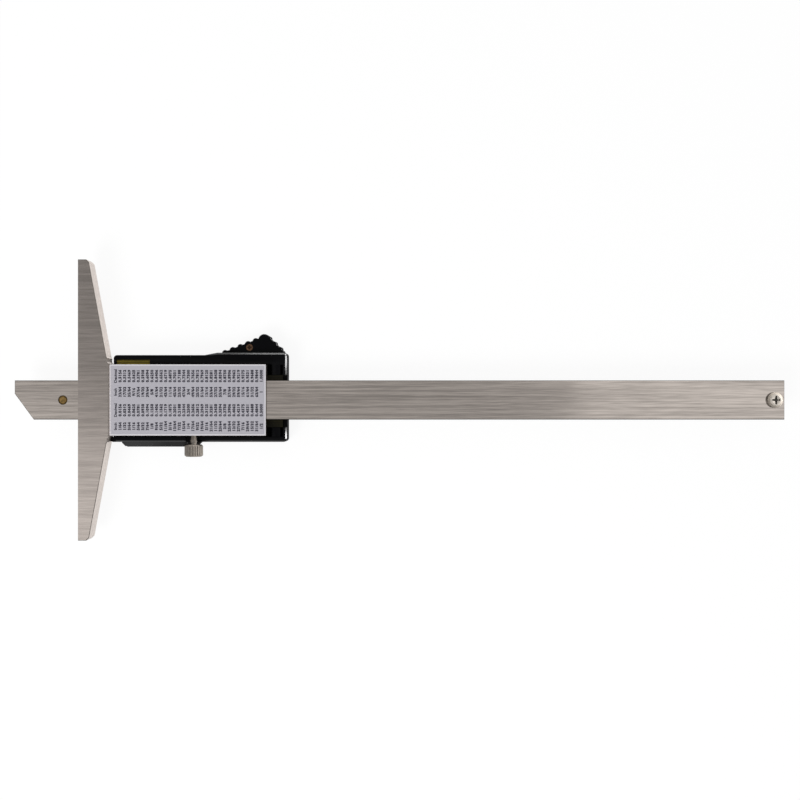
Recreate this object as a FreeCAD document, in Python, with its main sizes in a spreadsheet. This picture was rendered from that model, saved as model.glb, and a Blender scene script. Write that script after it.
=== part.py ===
import FreeCAD, Part
import math
import os
import re
import Sketcher

# Electronic depth caliper, in millimetres. The measuring face of the base lies in the plane X = 0,
# the beam slides along X through Y = 0, Z = 0, and its tip reaches towards -X to measure a depth.
# +Z is the back of the instrument (the label side), and it lies on the front face of its housing.

# Sizes that can each be set by themselves
SIZES = {
    # measuring base, ground from one bar together with the slider frame
    "base_length": 100.0,
    "base_thickness": 8.0,
    "base_depth": 10.9,
    "base_end_width": 2.9,
    "base_end_cut": 1.0,
    "base_foot_step": 0.8,
    "base_foot_margin": 1.1,
    "base_edge_break": 0.2,
    "relief_radius": 1.5,
    "relief_offset": 0.8,
    # slider frame behind the label
    "frame_length": 55.8,
    "frame_width": 25.4,
    "web_thickness": 1.4,
    "frame_screw_inset": 5.1,
    "frame_screw_edge": 2.3,
    "frame_screw_radius": 1.0,
    "frame_screw_head_radius": 1.85,
    "frame_screw_head_height": 0.8,
    "frame_screw_depth": 4.0,
    "frame_screw_sink": 0.05,
    "frame_screw_tip_gap": 0.5,
    "screw_hole_gap": 0.1,
    "thread_gap": 0.02,
    "label_thickness": 0.2,
    "label_inset": 0.05,
    # beam and what is fixed in it
    "beam_length": 275.3,
    "beam_width": 14.0,
    "beam_thickness": 3.0,
    "beam_edge_break": 0.15,
    "tip_reach": 23.3,
    "tip_end_height": 4.75,
    "tip_slant_length": 6.8,
    "tip_pin_inset": 17.2,
    "tip_pin_diameter": 3.3,
    "tip_pin_length": 2.2,
    "tip_pin_bevel": 0.1,
    "groove_width": 9.6,
    "groove_depth": 0.7,
    "groove_start_inset": 13.0,
    "groove_end_inset": 1.8,
    "scale_thickness": 0.5,
    "film_thickness": 0.15,
    "strip_gap": 0.05,
    "stop_screw_inset": 3.65,
    "stop_screw_head_diameter": 5.6,
    "stop_screw_head_height": 2.0,
    "stop_screw_shoulder": 0.9,
    "stop_screw_round_radius": 1.44,
    "stop_screw_round_run": 1.17,
    "stop_screw_shank_diameter": 3.0,
    "stop_screw_depth": 2.1,
    "stop_screw_recess_depth": 1.1,
    "stop_screw_recess_reach": 1.54,
    "recess_width": 0.75,
    # running gaps of the beam in its frame
    "slide_gap": 0.05,
    "back_gap": 0.1,
    "board_gap": 0.1,
    # gib strip and its set screws
    "gib_thickness": 1.5,
    "gib_end_gap": 0.8,
    "gib_screw_radius": 1.0,
    "gib_screw_length": 3.0,
    "gib_screw_inset": 12.5,
    "gib_screw_end_inset": 9.8,
    "gib_slot_width": 0.4,
    "gib_slot_depth": 0.7,
    # lock screw
    "lock_screw_place": 29.6,
    "lock_shank_radius": 1.25,
    "lock_neck_radius": 0.75,
    "lock_running_gap": 0.05,
    "lock_knob_diameter": 6.6,
    "lock_knob_length": 4.3,
    "lock_knob_stand_off": 3.3,
    "lock_knob_chamfer": 0.5,
    "lock_groove_length": 0.9,
    "lock_groove_radius": 1.0,
    "lock_neck_gap": 0.1,
    "lock_notch_gap": 0.3,
    "knurl_count": 22,
    "knurl_depth": 0.35,
    "knurl_width": 0.7,
    "knurl_clearance": 0.05,
    # moulded housing
    "shell_depth": 8.4,
    "shell_front_wall": 1.6,
    "shell_top_wall": 3.4,
    "shell_lower_wall": 1.9,
    "shell_lower_gap": 0.5,
    "shell_left_wall": 0.9,
    "shell_right_wall": 1.4,
    "shell_tail_length": 7.1,
    "shell_base_gap": 0.6,
    "shell_fit_gap": 0.05,
    "rim_overlap": 0.6,
    "rim_bevel": 0.6,
    "shell_corner_radius": 1.2,
    "shell_front_radius": 0.8,
    "shoulder_height": 0.9,
    "shoulder_run": 4.7,
    "shoulder_inset": 1.45,
    "boss_radius": 2.2,
    "boss_neck_radius": 1.6,
    "tail_block_start": 1.6,
    "tail_block_length": 3.1,
    "tail_block_drop": 0.25,
    # ledge with the data port
    "ledge_inset": 2.3,
    "ledge_end_reach": 1.9,
    "ledge_depth": 1.6,
    "ledge_back_step": 2.4,
    "ledge_step_reach": 3.2,
    "ledge_step_drop": 1.6,
    "ledge_nose": 1.2,
    "port_track_inset": 1.6,
    "port_track_length": 20.9,
    "port_track_depth": 0.8,
    "port_front_inset": 1.3,
    "port_back_inset": 0.6,
    "port_lip": 0.3,
    "port_lip_depth": 0.35,
    "port_gap": 0.05,
    "port_rib_height": 0.25,
    "port_rib_width": 0.5,
    "port_rib_count": 4,
    "port_hole_inset": 4.6,
    "port_hole_length": 11.0,
    "port_hole_margin": 0.8,
    # thumb grip
    "grip_length": 22.35,
    "grip_end_inset": 1.3,
    "grip_rise_length": 13.85,
    "grip_peak_length": 2.6,
    "grip_height": 6.85,
    "grip_crown_radius": 2.2,
    "grip_front_drop": 1.31,
    "grip_back_drop": 0.73,
    "grip_heel_height": 0.5,
    "grip_toe_height": 0.15,
    "grip_back_step": 2.3,
    "grip_front_step": 0.8,
    "grip_bump_start": 0.85,
    "grip_bump_radius": 1.15,
    "grip_bump_count": 5,
    "grip_bump_run": 11.9,
    "grip_bump_sink": 0.55,
    "grip_rib_radius": 0.8,
    "grip_rib_count": 3,
    "grip_rib_run": 5.6,
    "grip_rib_sink": 0.35,
    "grip_screw_inset": 9.75,
    "grip_screw_height": 2.05,
    "grip_screw_head_radius": 1.25,
    "grip_screw_shank_radius": 0.8,
    "grip_screw_sink": 0.5,
    "grip_screw_head_height": 0.7,
    "grip_screw_recess_reach": 0.85,
    "grip_screw_recess_depth": 0.49,
    "grip_roof": 2.4,
    "grip_screw_bite": 1.4,
    "lug_start_inset": 5.5,
    "lug_end_inset": 4.1,
    "lug_front_step": 0.2,
    "lug_height": 3.5,
    "lug_toe_height": 1.55,
    "lug_rise_length": 5.0,
    # circuit board and what it carries
    "board_thickness": 1.0,
    "board_fit": 0.1,
    "board_top_margin": 1.95,
    "board_low_margin": 1.2,
    "board_tab_length": 12.0,
    "board_tab_height": 1.75,
    "chip_inset": 6.4,
    "chip_size": 6.0,
    "chip_height": 1.0,
    # display
    "display_inset": 8.5,
    "display_length": 26.0,
    "display_side_inset": 3.2,
    "display_height": 12.0,
    "display_margin": 1.6,
    "display_glass_thickness": 1.8,
    "window_rebate": 1.0,
    "window_rebate_depth": 1.0,
    "window_sink": 0.2,
    "window_gap": 0.05,
    "connector_inset": 1.2,
    "connector_width": 1.8,
    # push buttons
    "button_inset": 4.0,
    "button_pitch": 10.0,
    "button_drop": 4.8,
    "button_radius": 2.4,
    "button_gap": 0.1,
    "button_sink": 0.3,
    "button_bevel": 0.25,
    "button_flange_radius": 3.0,
    "button_flange_thickness": 0.6,
    "button_stem_radius": 1.2,
    "button_travel": 0.35,
    "button_stop_gap": 0.05,
    "dome_radius": 2.0,
    "dome_height": 0.6,
    # button cell, its well and its sliding cover
    "cell_inset": 10.3,
    "cell_diameter": 11.6,
    "cell_height": 5.4,
    "cell_shoulder": 0.9,
    "cell_step": 0.4,
    "cell_gap": 0.15,
    "well_wall": 1.1,
    "well_back_gap": 0.6,
    "contact_thickness": 0.2,
    "contact_width": 3.0,
    "contact_side_gap": 0.4,
    "contact_foot": 1.2,
    "contact_reach": 4.0,
    "contact_rise_start": 2.0,
    "contact_tip": 1.0,
    "contact_tip_gap": 0.02,
    "cover_length": 18.4,
    "cover_side_margin": 1.65,
    "cover_depth": 1.1,
    "cover_tongue": 0.5,
    "cover_tongue_thickness": 0.5,
    "cover_gap": 0.05,
    "cover_ridge_inset": 3.0,
    "cover_ridge_count": 5,
    "cover_ridge_pitch": 1.4,
    "cover_ridge_width": 0.6,
    "cover_ridge_depth": 0.3,
}

# Places that follow from the sizes
PLACES = {
    "base_half": "base_length / 2",
    "base_back": "base_thickness / 2",
    "base_foot_depth": "base_depth - base_foot_step",
    "base_foot_half": "relief_height + base_foot_margin",
    "frame_half": "frame_width / 2",
    "frame_end": "base_depth + frame_length",
    "beam_half": "beam_width / 2",
    "beam_back": "beam_thickness / 2",
    "beam_end": "beam_length - tip_reach",
    "channel_top": "beam_half + slide_gap",
    "channel_low": "channel_top + gib_thickness + slide_gap",
    "web_front": "beam_back + back_gap",
    "frame_back": "web_front + web_thickness",
    "rail_front": "beam_back + board_gap",
    "relief_place": "base_depth + relief_offset",
    "relief_height": "frame_half + relief_radius",
    "frame_screw_left": "base_depth + frame_screw_inset",
    "frame_screw_right": "frame_end - frame_screw_inset",
    "frame_screw_half_width": "frame_half - frame_screw_edge",
    "gib_screw_left": "base_depth + gib_screw_inset",
    "gib_screw_right": "frame_end - gib_screw_end_inset",
    "groove_floor": "beam_back - groove_depth",
    "groove_start": "groove_start_inset - tip_reach",
    "groove_end": "beam_end - groove_end_inset",
    "lock_place": "base_depth + lock_screw_place",
    "lock_knob_start": "frame_half + lock_knob_stand_off",
    "board_front": "rail_front + board_thickness",
    "shell_front": "rail_front + shell_depth",
    "shell_floor": "shell_front - shell_front_wall",
    "shell_rim": "rail_front - rim_overlap",
    "shell_left": "base_depth + shell_base_gap",
    "shell_right": "frame_end + shell_tail_length",
    "shell_top": "frame_half + shell_fit_gap + shell_top_wall",
    "shell_shoulder": "shell_top + shoulder_height",
    "shell_low": "cavity_low + shell_lower_wall",
    "shoulder_end": "grip_start - shoulder_inset",
    "shoulder_start": "shoulder_end - shoulder_run",
    "cavity_left": "shell_left + shell_left_wall",
    "cavity_right": "shell_right - shell_right_wall",
    "cavity_top": "frame_half + shell_fit_gap",
    "cavity_low": "frame_half + shell_lower_gap",
    "ledge_low": "shell_low + ledge_depth",
    "ledge_start": "shell_left + ledge_inset",
    "ledge_end": "lock_place + ledge_end_reach",
    "ledge_back": "rail_front + ledge_back_step",
    "ledge_step_start": "lock_place - ledge_step_reach",
    "port_track_start": "ledge_start + port_track_inset",
    "port_track_front": "shell_front - port_front_inset",
    "port_track_back": "ledge_back + port_back_inset",
    "port_hole_start": "port_track_start + port_hole_inset",
    "port_floor": "ledge_low - port_track_depth",
    "grip_end": "shell_right - grip_end_inset",
    "grip_start": "grip_end - grip_length",
    "grip_peak_start": "grip_start + grip_rise_length",
    "grip_peak_end": "grip_peak_start + grip_peak_length",
    "grip_back": "rail_front + grip_back_step",
    "grip_front": "shell_front - grip_front_step",
    "grip_screw_place": "grip_start + grip_screw_inset",
    "lug_start": "grip_start + lug_start_inset",
    "lug_end": "grip_end - lug_end_inset",
    "lug_front": "grip_front - lug_front_step",
    "lug_back": "grip_back + grip_roof",
    "board_top_reach": "channel_top + board_top_margin",
    "board_low_reach": "channel_low + board_low_margin",
    "board_tab_end": "cavity_left + board_tab_length",
    "board_tab_reach": "cavity_top + board_tab_height",
    "chip_start": "cover_start - chip_inset",
    "display_start": "shell_left + display_inset",
    "display_end": "display_start + display_length",
    "display_low": "cavity_low - display_side_inset",
    "display_top": "display_height - display_low",
    "connector_low": "display_low - connector_inset",
    "button_first": "display_start + button_inset",
    "button_line": "display_top + button_drop",
    "window_front": "shell_front - window_sink",
    "window_back": "shell_front - window_rebate_depth",
    "glass_back": "shell_floor - display_glass_thickness",
    "dome_front": "board_front + dome_height",
    "cell_place": "shell_right - cell_inset",
    "cell_front": "shell_front - cover_depth - cell_gap",
    "cell_back": "cell_front - cell_height",
    "cell_radius": "cell_diameter / 2",
    "well_radius": "cell_radius + cell_gap",
    "cover_start": "shell_right - cover_length",
    "cover_half_width": "well_radius + cover_side_margin",
    "cover_floor": "shell_front - cover_depth",
    "tongue_floor": "cover_floor + cover_tongue_thickness",
}

PLANES = {"x": "YZ_Plane", "y": "XZ_Plane", "z": "XY_Plane"}
GIB_SCREWS = ("gib_screw_left", "gib_screw_right")
BUTTONS = ("button_on_off", "button_zero", "button_unit")
WORD = re.compile(r"[a-z][a-z_]+")
LEAST_CUT = 1e-4

doc = FreeCAD.newDocument("DepthCaliper")
sheet = doc.addObject("Spreadsheet::Sheet", "Sizes")
for row, (alias, number) in enumerate(SIZES.items(), start=1):
    sheet.set(f"A{row}", alias)
    sheet.set(f"B{row}", str(number))
    sheet.setAlias(f"B{row}", alias)
doc.recompute()
pieces = []


def linked(text):
    """The text as an expression on the sheet, with each place written out in sizes."""

    def swap(match):
        word = match.group(0)
        if word in PLACES:
            return "(" + linked(PLACES[word]) + ")"
        return "Sizes." + word if word in SIZES else word

    return WORD.sub(swap, text)


def value(text):
    """The number that a text comes to, in millimetres."""
    return float(sheet.evalExpression(linked(text)))


def bind(thing, slot, text):
    """Bind one slot of an object to a text of sizes."""
    thing.setExpression(slot, linked(text))


def bowed(start, end, radius):
    """The arc from start to end, anticlockwise, that bows out to the right of the way it goes."""
    chord = end - start
    rise = math.sqrt(radius**2 - (chord.Length / 2) ** 2)
    side = FreeCAD.Vector(-chord.y, chord.x, 0).normalize()
    centre = (start + end) / 2 + side * rise
    first = math.atan2(start.y - centre.y, start.x - centre.x)
    last = math.atan2(end.y - centre.y, end.x - centre.x)
    if last < first:
        last += 2 * math.pi
    return Part.ArcOfCircle(Part.Circle(centre, FreeCAD.Vector(0, 0, 1), radius), first, last)


def box(left, low, right, top):
    """The four corners of an upright rectangle in a sketch."""
    return [(left, low), (right, low), (right, top), (left, top)]


class Piece:
    """One sub-part: a body whose sketches and features hang on the sheet."""

    def __init__(self, label):
        self.body = doc.addObject("PartDesign::Body", label)
        self.body.Label = label
        pieces.append(self.body)

    def origin(self, role):
        """A plane or an axis of the body's own origin."""
        return next(item for item in self.body.Origin.OriginFeatures if item.Role == role)

    def sketch(self, normal, level, loops, across="0", up="0", turn="0"):
        """A sketch at a level along one axis. A loop is a list of corners, or one circle's three values."""
        sketch = self.body.newObject("Sketcher::SketchObject", f"{self.body.Label}_sketch")
        sketch.AttachmentSupport = [(self.origin(PLANES[normal]), "")]
        sketch.MapMode = "FlatFace"
        bind(sketch, "AttachmentOffset.Base.x", across)
        bind(sketch, "AttachmentOffset.Base.y", up)
        bind(sketch, "AttachmentOffset.Base.z", f"-({level})" if normal == "y" else level)
        if turn != "0":
            sketch.AttachmentOffset = FreeCAD.Placement(
                FreeCAD.Vector(), FreeCAD.Rotation(FreeCAD.Vector(0, 0, 1), value(turn))
            )
            bind(sketch, "AttachmentOffset.Rotation.Angle", turn)
        for loop in loops:
            if isinstance(loop, tuple):
                self.draw_circle(sketch, *loop)
            else:
                self.draw_outline(sketch, loop)
        return sketch

    def draw_circle(self, sketch, across, up, radius):
        """A circle held by its centre and radius."""
        centre = FreeCAD.Vector(value(across), value(up), 0)
        index = sketch.addGeometry(Part.Circle(centre, FreeCAD.Vector(0, 0, 1), value(radius)), False)
        self.hold(sketch, "DistanceX", across, -1, 1, index, 3)
        self.hold(sketch, "DistanceY", up, -1, 1, index, 3)
        self.hold(sketch, "Radius", radius, index)

    def draw_outline(self, sketch, corners):
        """A closed outline. A corner's third value is the radius of the bow that starts there."""
        first = sketch.GeometryCount
        count = len(corners)
        spots = [FreeCAD.Vector(value(corner[0]), value(corner[1]), 0) for corner in corners]
        for place, corner in enumerate(corners):
            start, end = spots[place], spots[(place + 1) % count]
            bow = len(corner) > 2
            edge = bowed(start, end, value(corner[2])) if bow else Part.LineSegment(start, end)
            sketch.addGeometry(edge, False)
        for place in range(count):
            following = first + (place + 1) % count
            sketch.addConstraint(Sketcher.Constraint("Coincident", first + place, 2, following, 1))
        for place, corner in enumerate(corners):
            self.hold(sketch, "DistanceX", corner[0], -1, 1, first + place, 1)
            self.hold(sketch, "DistanceY", corner[1], -1, 1, first + place, 1)
            if len(corner) > 2:
                self.hold(sketch, "Radius", corner[2], first + place)

    def hold(self, sketch, kind, text, *geometry):
        """A dimension in a sketch, bound to its text."""
        index = sketch.addConstraint(Sketcher.Constraint(kind, *geometry, value(text)))
        if WORD.search(text):
            bind(sketch, f"Constraints[{index}]", text)

    def extrude(self, kind, normal, low, high, loops, **place):
        """A pad or a pocket between two levels along one axis."""
        before = self.body.Shape.Volume if self.body.Tip else 0.0
        sketch = self.sketch(normal, high if normal == "y" else low, loops, **place)
        feature = self.body.newObject(f"PartDesign::{kind}", f"{self.body.Label}_{kind.lower()}")
        feature.Profile = sketch
        bind(feature, "Length", f"({high}) - ({low})")
        feature.Reversed = kind == "Pocket"
        doc.recompute()
        change = self.body.Shape.Volume - before
        if (change if kind == "Pad" else -change) < LEAST_CUT:
            raise RuntimeError(f"{feature.Name} changes nothing")
        return feature

    def pad(self, normal, low, high, *loops, **place):
        """Material between two levels."""
        return self.extrude("Pad", normal, low, high, loops, **place)

    def cut(self, normal, low, high, *loops, **place):
        """A cut between two levels."""
        return self.extrude("Pocket", normal, low, high, loops, **place)

    def turn(self, axis, loop, across="0", depth="0"):
        """A turned solid about an axis along Y or Z. Its corners are (radius, height)."""
        sketch = self.sketch("z" if axis == "y" else "y", depth, [loop], across=across)
        feature = self.body.newObject("PartDesign::Revolution", f"{self.body.Label}_turned")
        feature.Profile = sketch
        feature.ReferenceAxis = (sketch, ["V_Axis"])
        feature.Angle = 360
        doc.recompute()
        return feature

    def ease(self, kind, size, wanted):
        """Round or bevel the edges that are wanted."""
        tip = self.body.Tip
        names = [f"Edge{number}" for number, edge in enumerate(tip.Shape.Edges, start=1) if wanted(edge)]
        feature = self.body.newObject(f"PartDesign::{kind}", f"{self.body.Label}_{kind.lower()}")
        feature.Base = (tip, names)
        bind(feature, "Radius" if kind == "Fillet" else "Size", size)
        self.body.Tip = feature
        doc.recompute()

    def repeat(self, kind, feature, count, **settings):
        """A row or a ring of copies of one feature."""
        pattern = self.body.newObject(f"PartDesign::{kind}", f"{self.body.Label}_pattern")
        pattern.Originals = [feature]
        for slot, setting in settings.items():
            if isinstance(setting, str):
                bind(pattern, slot, setting)
            else:
                setattr(pattern, slot, setting)
        bind(pattern, "Occurrences", count)
        self.body.Tip = pattern
        doc.recompute()


def spans(edge, axis, low, high):
    """Whether an edge lies between two levels along an axis."""
    limits = edge.BoundBox
    lowest, highest = getattr(limits, axis + "Min"), getattr(limits, axis + "Max")
    return lowest > value(low) - 0.01 and highest < value(high) + 0.01


def level(edge, axis, place):
    """Whether an edge lies in one plane across an axis."""
    return spans(edge, axis, place, place)


def upright(edge, across, up):
    """Whether an edge runs along Z through a place."""
    return level(edge, "X", across) and level(edge, "Y", up)


def cross(piece, across, up, reach, top, depth):
    """A cross recess in a screw head, cut from the back."""
    arm = f"({reach})"
    half = "recess_width / 2"
    low = f"({top}) - ({depth})"
    for wide, tall in ((arm, half), (half, arm)):
        corners = box(f"{across} - {wide}", f"{up} - {tall}", f"{across} + {wide}", f"{up} + {tall}")
        piece.cut("z", low, top, corners)


def make_base():
    """The measuring base and the channel that guides the beam, one ground piece."""
    piece = Piece("base_and_slider")
    outline = [("0", "-base_half"), ("base_end_width", "-base_half")]
    outline += [("base_end_width + base_end_cut", "base_end_cut - base_half")]
    outline += [("base_foot_depth", "-base_foot_half"), ("base_depth", "-relief_height")]
    outline += [("base_depth", "relief_height"), ("base_foot_depth", "base_foot_half")]
    outline += [("base_end_width + base_end_cut", "base_half - base_end_cut")]
    outline += [("base_end_width", "base_half"), ("0", "base_half")]
    piece.pad("z", "-base_back", "base_back", outline)
    piece.ease("Chamfer", "base_edge_break", lambda edge: not spans(edge, "X", "0", "0") and (
        level(edge, "Z", "base_back") or level(edge, "Z", "-base_back")))
    frame = box("0", "-frame_half", "frame_end", "frame_half")
    piece.pad("z", "-rail_front", "frame_back", frame)
    for side in ("-", ""):
        relief = ("relief_place", f"{side}relief_height", "relief_radius")
        piece.cut("z", "-base_back", "base_back", relief)
    slot = box("-channel_top", "-rail_front", "channel_top", "web_front")
    piece.cut("x", "0", "base_depth", slot)
    channel = box("-channel_low", "-rail_front", "channel_top", "web_front")
    piece.cut("x", "base_depth", "frame_end", channel)
    holes = [
        (across, f"{side}frame_screw_half_width", "frame_screw_radius + screw_hole_gap")
        for across in ("frame_screw_left", "frame_screw_right") for side in ("-", "")
    ]
    piece.cut("z", "-rail_front", "frame_back", *holes)
    seats = [(*hole[:2], "frame_screw_head_radius + screw_hole_gap") for hole in holes]
    piece.cut("z", "frame_back - frame_screw_head_height - frame_screw_sink", "frame_back", *seats)
    side_holes = [(place, "0", "gib_screw_radius + thread_gap") for place in GIB_SCREWS]
    side_holes += [("lock_place", "0", "lock_shank_radius + lock_running_gap")]
    piece.cut("y", "-frame_half", "-channel_low", *side_holes)


def make_frame_parts():
    """What is fixed in the frame: gib strip, set screws, housing screws and the label."""
    gib = Piece("gib_strip")
    strip = box("base_depth + gib_end_gap", "-(channel_top + gib_thickness)", "frame_end - gib_end_gap",
                "-channel_top")
    gib.pad("z", "-beam_back", "beam_back", strip)
    set_screws = Piece("gib_screws")
    end = "-channel_low - gib_screw_length"
    for place in GIB_SCREWS:
        barrel = [("0", end), ("gib_screw_radius", end), ("gib_screw_radius", "-channel_low")]
        barrel += [("0", "-channel_low")]
        set_screws.turn("y", barrel, across=place)
        slot = box(f"{place} - gib_screw_radius", "-gib_slot_width / 2",
                   f"{place} + gib_screw_radius", "gib_slot_width / 2")
        set_screws.cut("y", end, f"{end} + gib_slot_depth", slot)
    screws = Piece("housing_screws")
    top = "frame_back - frame_screw_sink"
    seat = f"{top} - frame_screw_head_height"
    low = "-rail_front - frame_screw_depth"
    for across in ("frame_screw_left", "frame_screw_right"):
        for side in ("-", ""):
            shank = [("0", low), ("frame_screw_radius", low), ("frame_screw_radius", seat)]
            shank += [("frame_screw_head_radius", seat), ("frame_screw_head_radius", top), ("0", top)]
            depth = f"{side}frame_screw_half_width"
            screws.turn("z", shank, across=across, depth=depth)
    label = Piece("conversion_label")
    face = box("base_depth + 2 * label_inset", "label_inset - frame_half", "frame_end - label_inset",
               "frame_half - label_inset")
    label.pad("z", "frame_back", "frame_back + label_thickness", face)


def make_beam():
    """The beam with its scale, film, tip pin and stop screw."""
    beam = Piece("beam_blade")
    outline = [("tip_slant_length - tip_reach", "-beam_half"), ("beam_end", "-beam_half")]
    outline += [("beam_end", "beam_half"), ("-tip_reach", "beam_half")]
    outline += [("-tip_reach", "beam_half - tip_end_height")]
    beam.pad("z", "-beam_back", "beam_back", outline)
    beam.ease("Chamfer", "beam_edge_break", lambda edge: (
        level(edge, "Z", "beam_back") or level(edge, "Z", "-beam_back")))
    beam.cut("z", "-beam_back", "-groove_floor",
             box("groove_start", "-groove_width / 2", "groove_end", "groove_width / 2"))
    pin = ("tip_pin_inset - tip_reach", "0", "tip_pin_diameter / 2 + thread_gap")
    beam.cut("z", "beam_back - tip_pin_length", "beam_back", pin)
    stop = ("beam_end - stop_screw_inset", "0", "stop_screw_shank_diameter / 2 + thread_gap")
    beam.cut("z", "beam_back - stop_screw_depth", "beam_back", stop)
    strip = Piece("scale_strip")
    strip_face = box("groove_start + strip_gap", "strip_gap - groove_width / 2", "groove_end - strip_gap",
                     "groove_width / 2 - strip_gap")
    strip.pad("z", "-groove_floor - scale_thickness", "-groove_floor", strip_face)
    film = Piece("scale_film")
    film.pad("z", "-groove_floor - scale_thickness - film_thickness", "-groove_floor - scale_thickness",
             strip_face)
    plug = Piece("tip_pin")
    low = "beam_back - tip_pin_length"
    radius = "tip_pin_diameter / 2"
    profile = [("0", low), (radius, low), (radius, "beam_back - tip_pin_bevel")]
    profile += [(f"{radius} - tip_pin_bevel", "beam_back"), ("0", "beam_back")]
    plug.turn("z", profile, across="tip_pin_inset - tip_reach")
    screw = Piece("stop_screw")
    low = "beam_back - stop_screw_depth"
    top = "beam_back + stop_screw_head_height"
    shank, head = "stop_screw_shank_diameter / 2", "stop_screw_head_diameter / 2"
    profile = [("0", low), (shank, low), (shank, "beam_back"), (head, "beam_back")]
    profile += [(head, f"{top} - stop_screw_shoulder", "stop_screw_round_radius")]
    profile += [(f"{head} - stop_screw_round_run", top), ("0", top)]
    screw.turn("z", profile, across="beam_end - stop_screw_inset")
    cross(screw, "beam_end - stop_screw_inset", "0", "stop_screw_recess_reach", top,
          "stop_screw_recess_depth")


def make_lock_screw():
    """The knurled lock screw, built about its own axis and then moved along the frame."""
    piece = Piece("lock_screw")
    knob = "-(lock_knob_start)"
    end = f"{knob} - lock_knob_length"
    radius = "lock_knob_diameter / 2"
    groove = f"{knob} + lock_groove_length"
    profile = [("0", end), (f"{radius} - lock_knob_chamfer", end), (radius, f"{end} + lock_knob_chamfer")]
    profile += [(radius, f"{knob} - lock_knob_chamfer"), (f"{radius} - lock_knob_chamfer", knob)]
    profile += [("lock_groove_radius", knob), ("lock_groove_radius", groove)]
    profile += [("lock_shank_radius", groove), ("lock_neck_radius", "-frame_half - lock_neck_gap")]
    profile += [("lock_shank_radius", "-frame_half - lock_neck_gap")]
    profile += [("lock_shank_radius", "-channel_low"), ("0", "-channel_low")]
    piece.turn("y", profile)
    rim = f"{radius} + knurl_clearance"
    tooth = [("-knurl_width / 2", rim), ("0", f"{radius} - knurl_depth"), ("knurl_width / 2", rim)]
    groove = piece.cut("y", end, knob, tooth)
    piece.repeat("PolarPattern", groove, "knurl_count", Axis=(piece.origin("Y_Axis"), [""]), Angle=360)
    bind(piece.body, "Placement.Base.x", "lock_place")


def lug_outline(foot, gap):
    """The lug under the thumb grip, which rises with the grip's slope, with a gap all round."""
    top, toe = (f"shell_shoulder + {height} + {gap}" for height in ("lug_height", "lug_toe_height"))
    return [(f"lug_start - {gap}", foot), (f"lug_end + {gap}", foot), (f"lug_end + {gap}", top),
            (f"lug_start + lug_rise_length - {gap}", top), (f"lug_start - {gap}", toe)]


def make_housing():
    """The moulded housing: an open shell with bosses, a battery well, a ledge and windows."""
    piece = Piece("front_housing")
    outline = [("shell_left", "-shell_low"), ("shell_right", "-shell_low")]
    outline += [("shell_right", "shell_shoulder"), ("shoulder_end", "shell_shoulder")]
    outline += [("shoulder_start", "shell_top"), ("shell_left", "shell_top")]
    piece.pad("z", "-shell_front", "-shell_rim", outline)
    corners = (("shell_right", "-shell_low"), ("shell_right", "shell_shoulder"), ("shell_left", "shell_top"))
    piece.ease("Fillet", "shell_corner_radius", lambda edge: any(upright(edge, *spot) for spot in corners))
    piece.ease("Fillet", "shell_front_radius", lambda edge: level(edge, "Z", "-shell_front"))
    piece.ease("Chamfer", "rim_bevel", lambda edge: level(edge, "Z", "-shell_rim") and (
        spans(edge, "X", "shoulder_start", "shell_right")))
    nose = "shell_lower_wall / 2"
    low = "shell_front_radius - shell_front"
    piece.pad("z", low, "-shell_rim", ("shell_left", f"{nose} - shell_low", nose))
    step = [("ledge_start", "-ledge_low + ledge_nose"), ("ledge_start + ledge_nose", "-ledge_low")]
    step += [("ledge_step_start", "-ledge_low"), ("ledge_step_start", "-shell_low")]
    step += [("ledge_start", "-shell_low")]
    piece.pad("z", low, "-ledge_back", step)
    toe = [("ledge_step_start", "-ledge_low"), ("ledge_end - ledge_depth", "-ledge_low")]
    toe += [("ledge_end", "-shell_low"), ("ledge_step_start", "-shell_low")]
    piece.pad("z", low, "-ledge_back - ledge_step_drop", toe)
    piece.pad("z", "-lug_front", "-lug_back", lug_outline("shell_top", "0"))
    pilot = ("grip_screw_place", "shell_shoulder + grip_screw_height")
    piece.cut("z", "-lug_front", "-lug_back", (*pilot, "grip_screw_shank_radius + thread_gap"))
    cavity = box("cavity_left", "-cavity_low", "cavity_right", "cavity_top")
    piece.cut("z", "-shell_floor", "-shell_rim", cavity)
    add_bosses(piece)
    add_tail_blocks(piece)
    cut_seats(piece)
    cut_front(piece)
    cut_port(piece)


def add_bosses(piece):
    """Four screw bosses with a shoulder that carries the board, and the round well of the cell."""
    for across in ("frame_screw_left", "frame_screw_right"):
        for side in ("-", ""):
            spot = (across, f"{side}frame_screw_half_width")
            piece.pad("z", "-shell_floor", "-board_front", (*spot, "boss_radius"))
            piece.pad("z", "-board_front", "-rail_front", (*spot, "boss_neck_radius"))
            piece.cut("z", "-rail_front - frame_screw_depth - frame_screw_tip_gap", "-rail_front",
                      (*spot, "frame_screw_radius + thread_gap"))
    well_back = "-board_front - well_back_gap"
    piece.pad("z", "-shell_floor", well_back, ("cell_place", "0", "well_radius + well_wall"))
    piece.cut("z", "-shell_front", well_back, ("cell_place", "0", "well_radius"))
    reach = "contact_width / 2 + contact_side_gap"
    gap = box("cell_place", f"-({reach})", "cavity_right", reach)
    piece.cut("z", "-shell_floor", well_back, gap)


def add_tail_blocks(piece):
    """The two blocks in the tail's corners, beside the end of the frame."""
    start = "frame_end + tail_block_start"
    end = f"{start} + tail_block_length"
    top = "-shell_rim - tail_block_drop"
    piece.pad("z", "-shell_floor", top, box(start, "-cavity_low", end, "-board_low_reach - board_fit"))
    piece.pad("z", "-shell_floor", top, box(start, "board_top_reach + board_fit", end, "cavity_top"))


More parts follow.
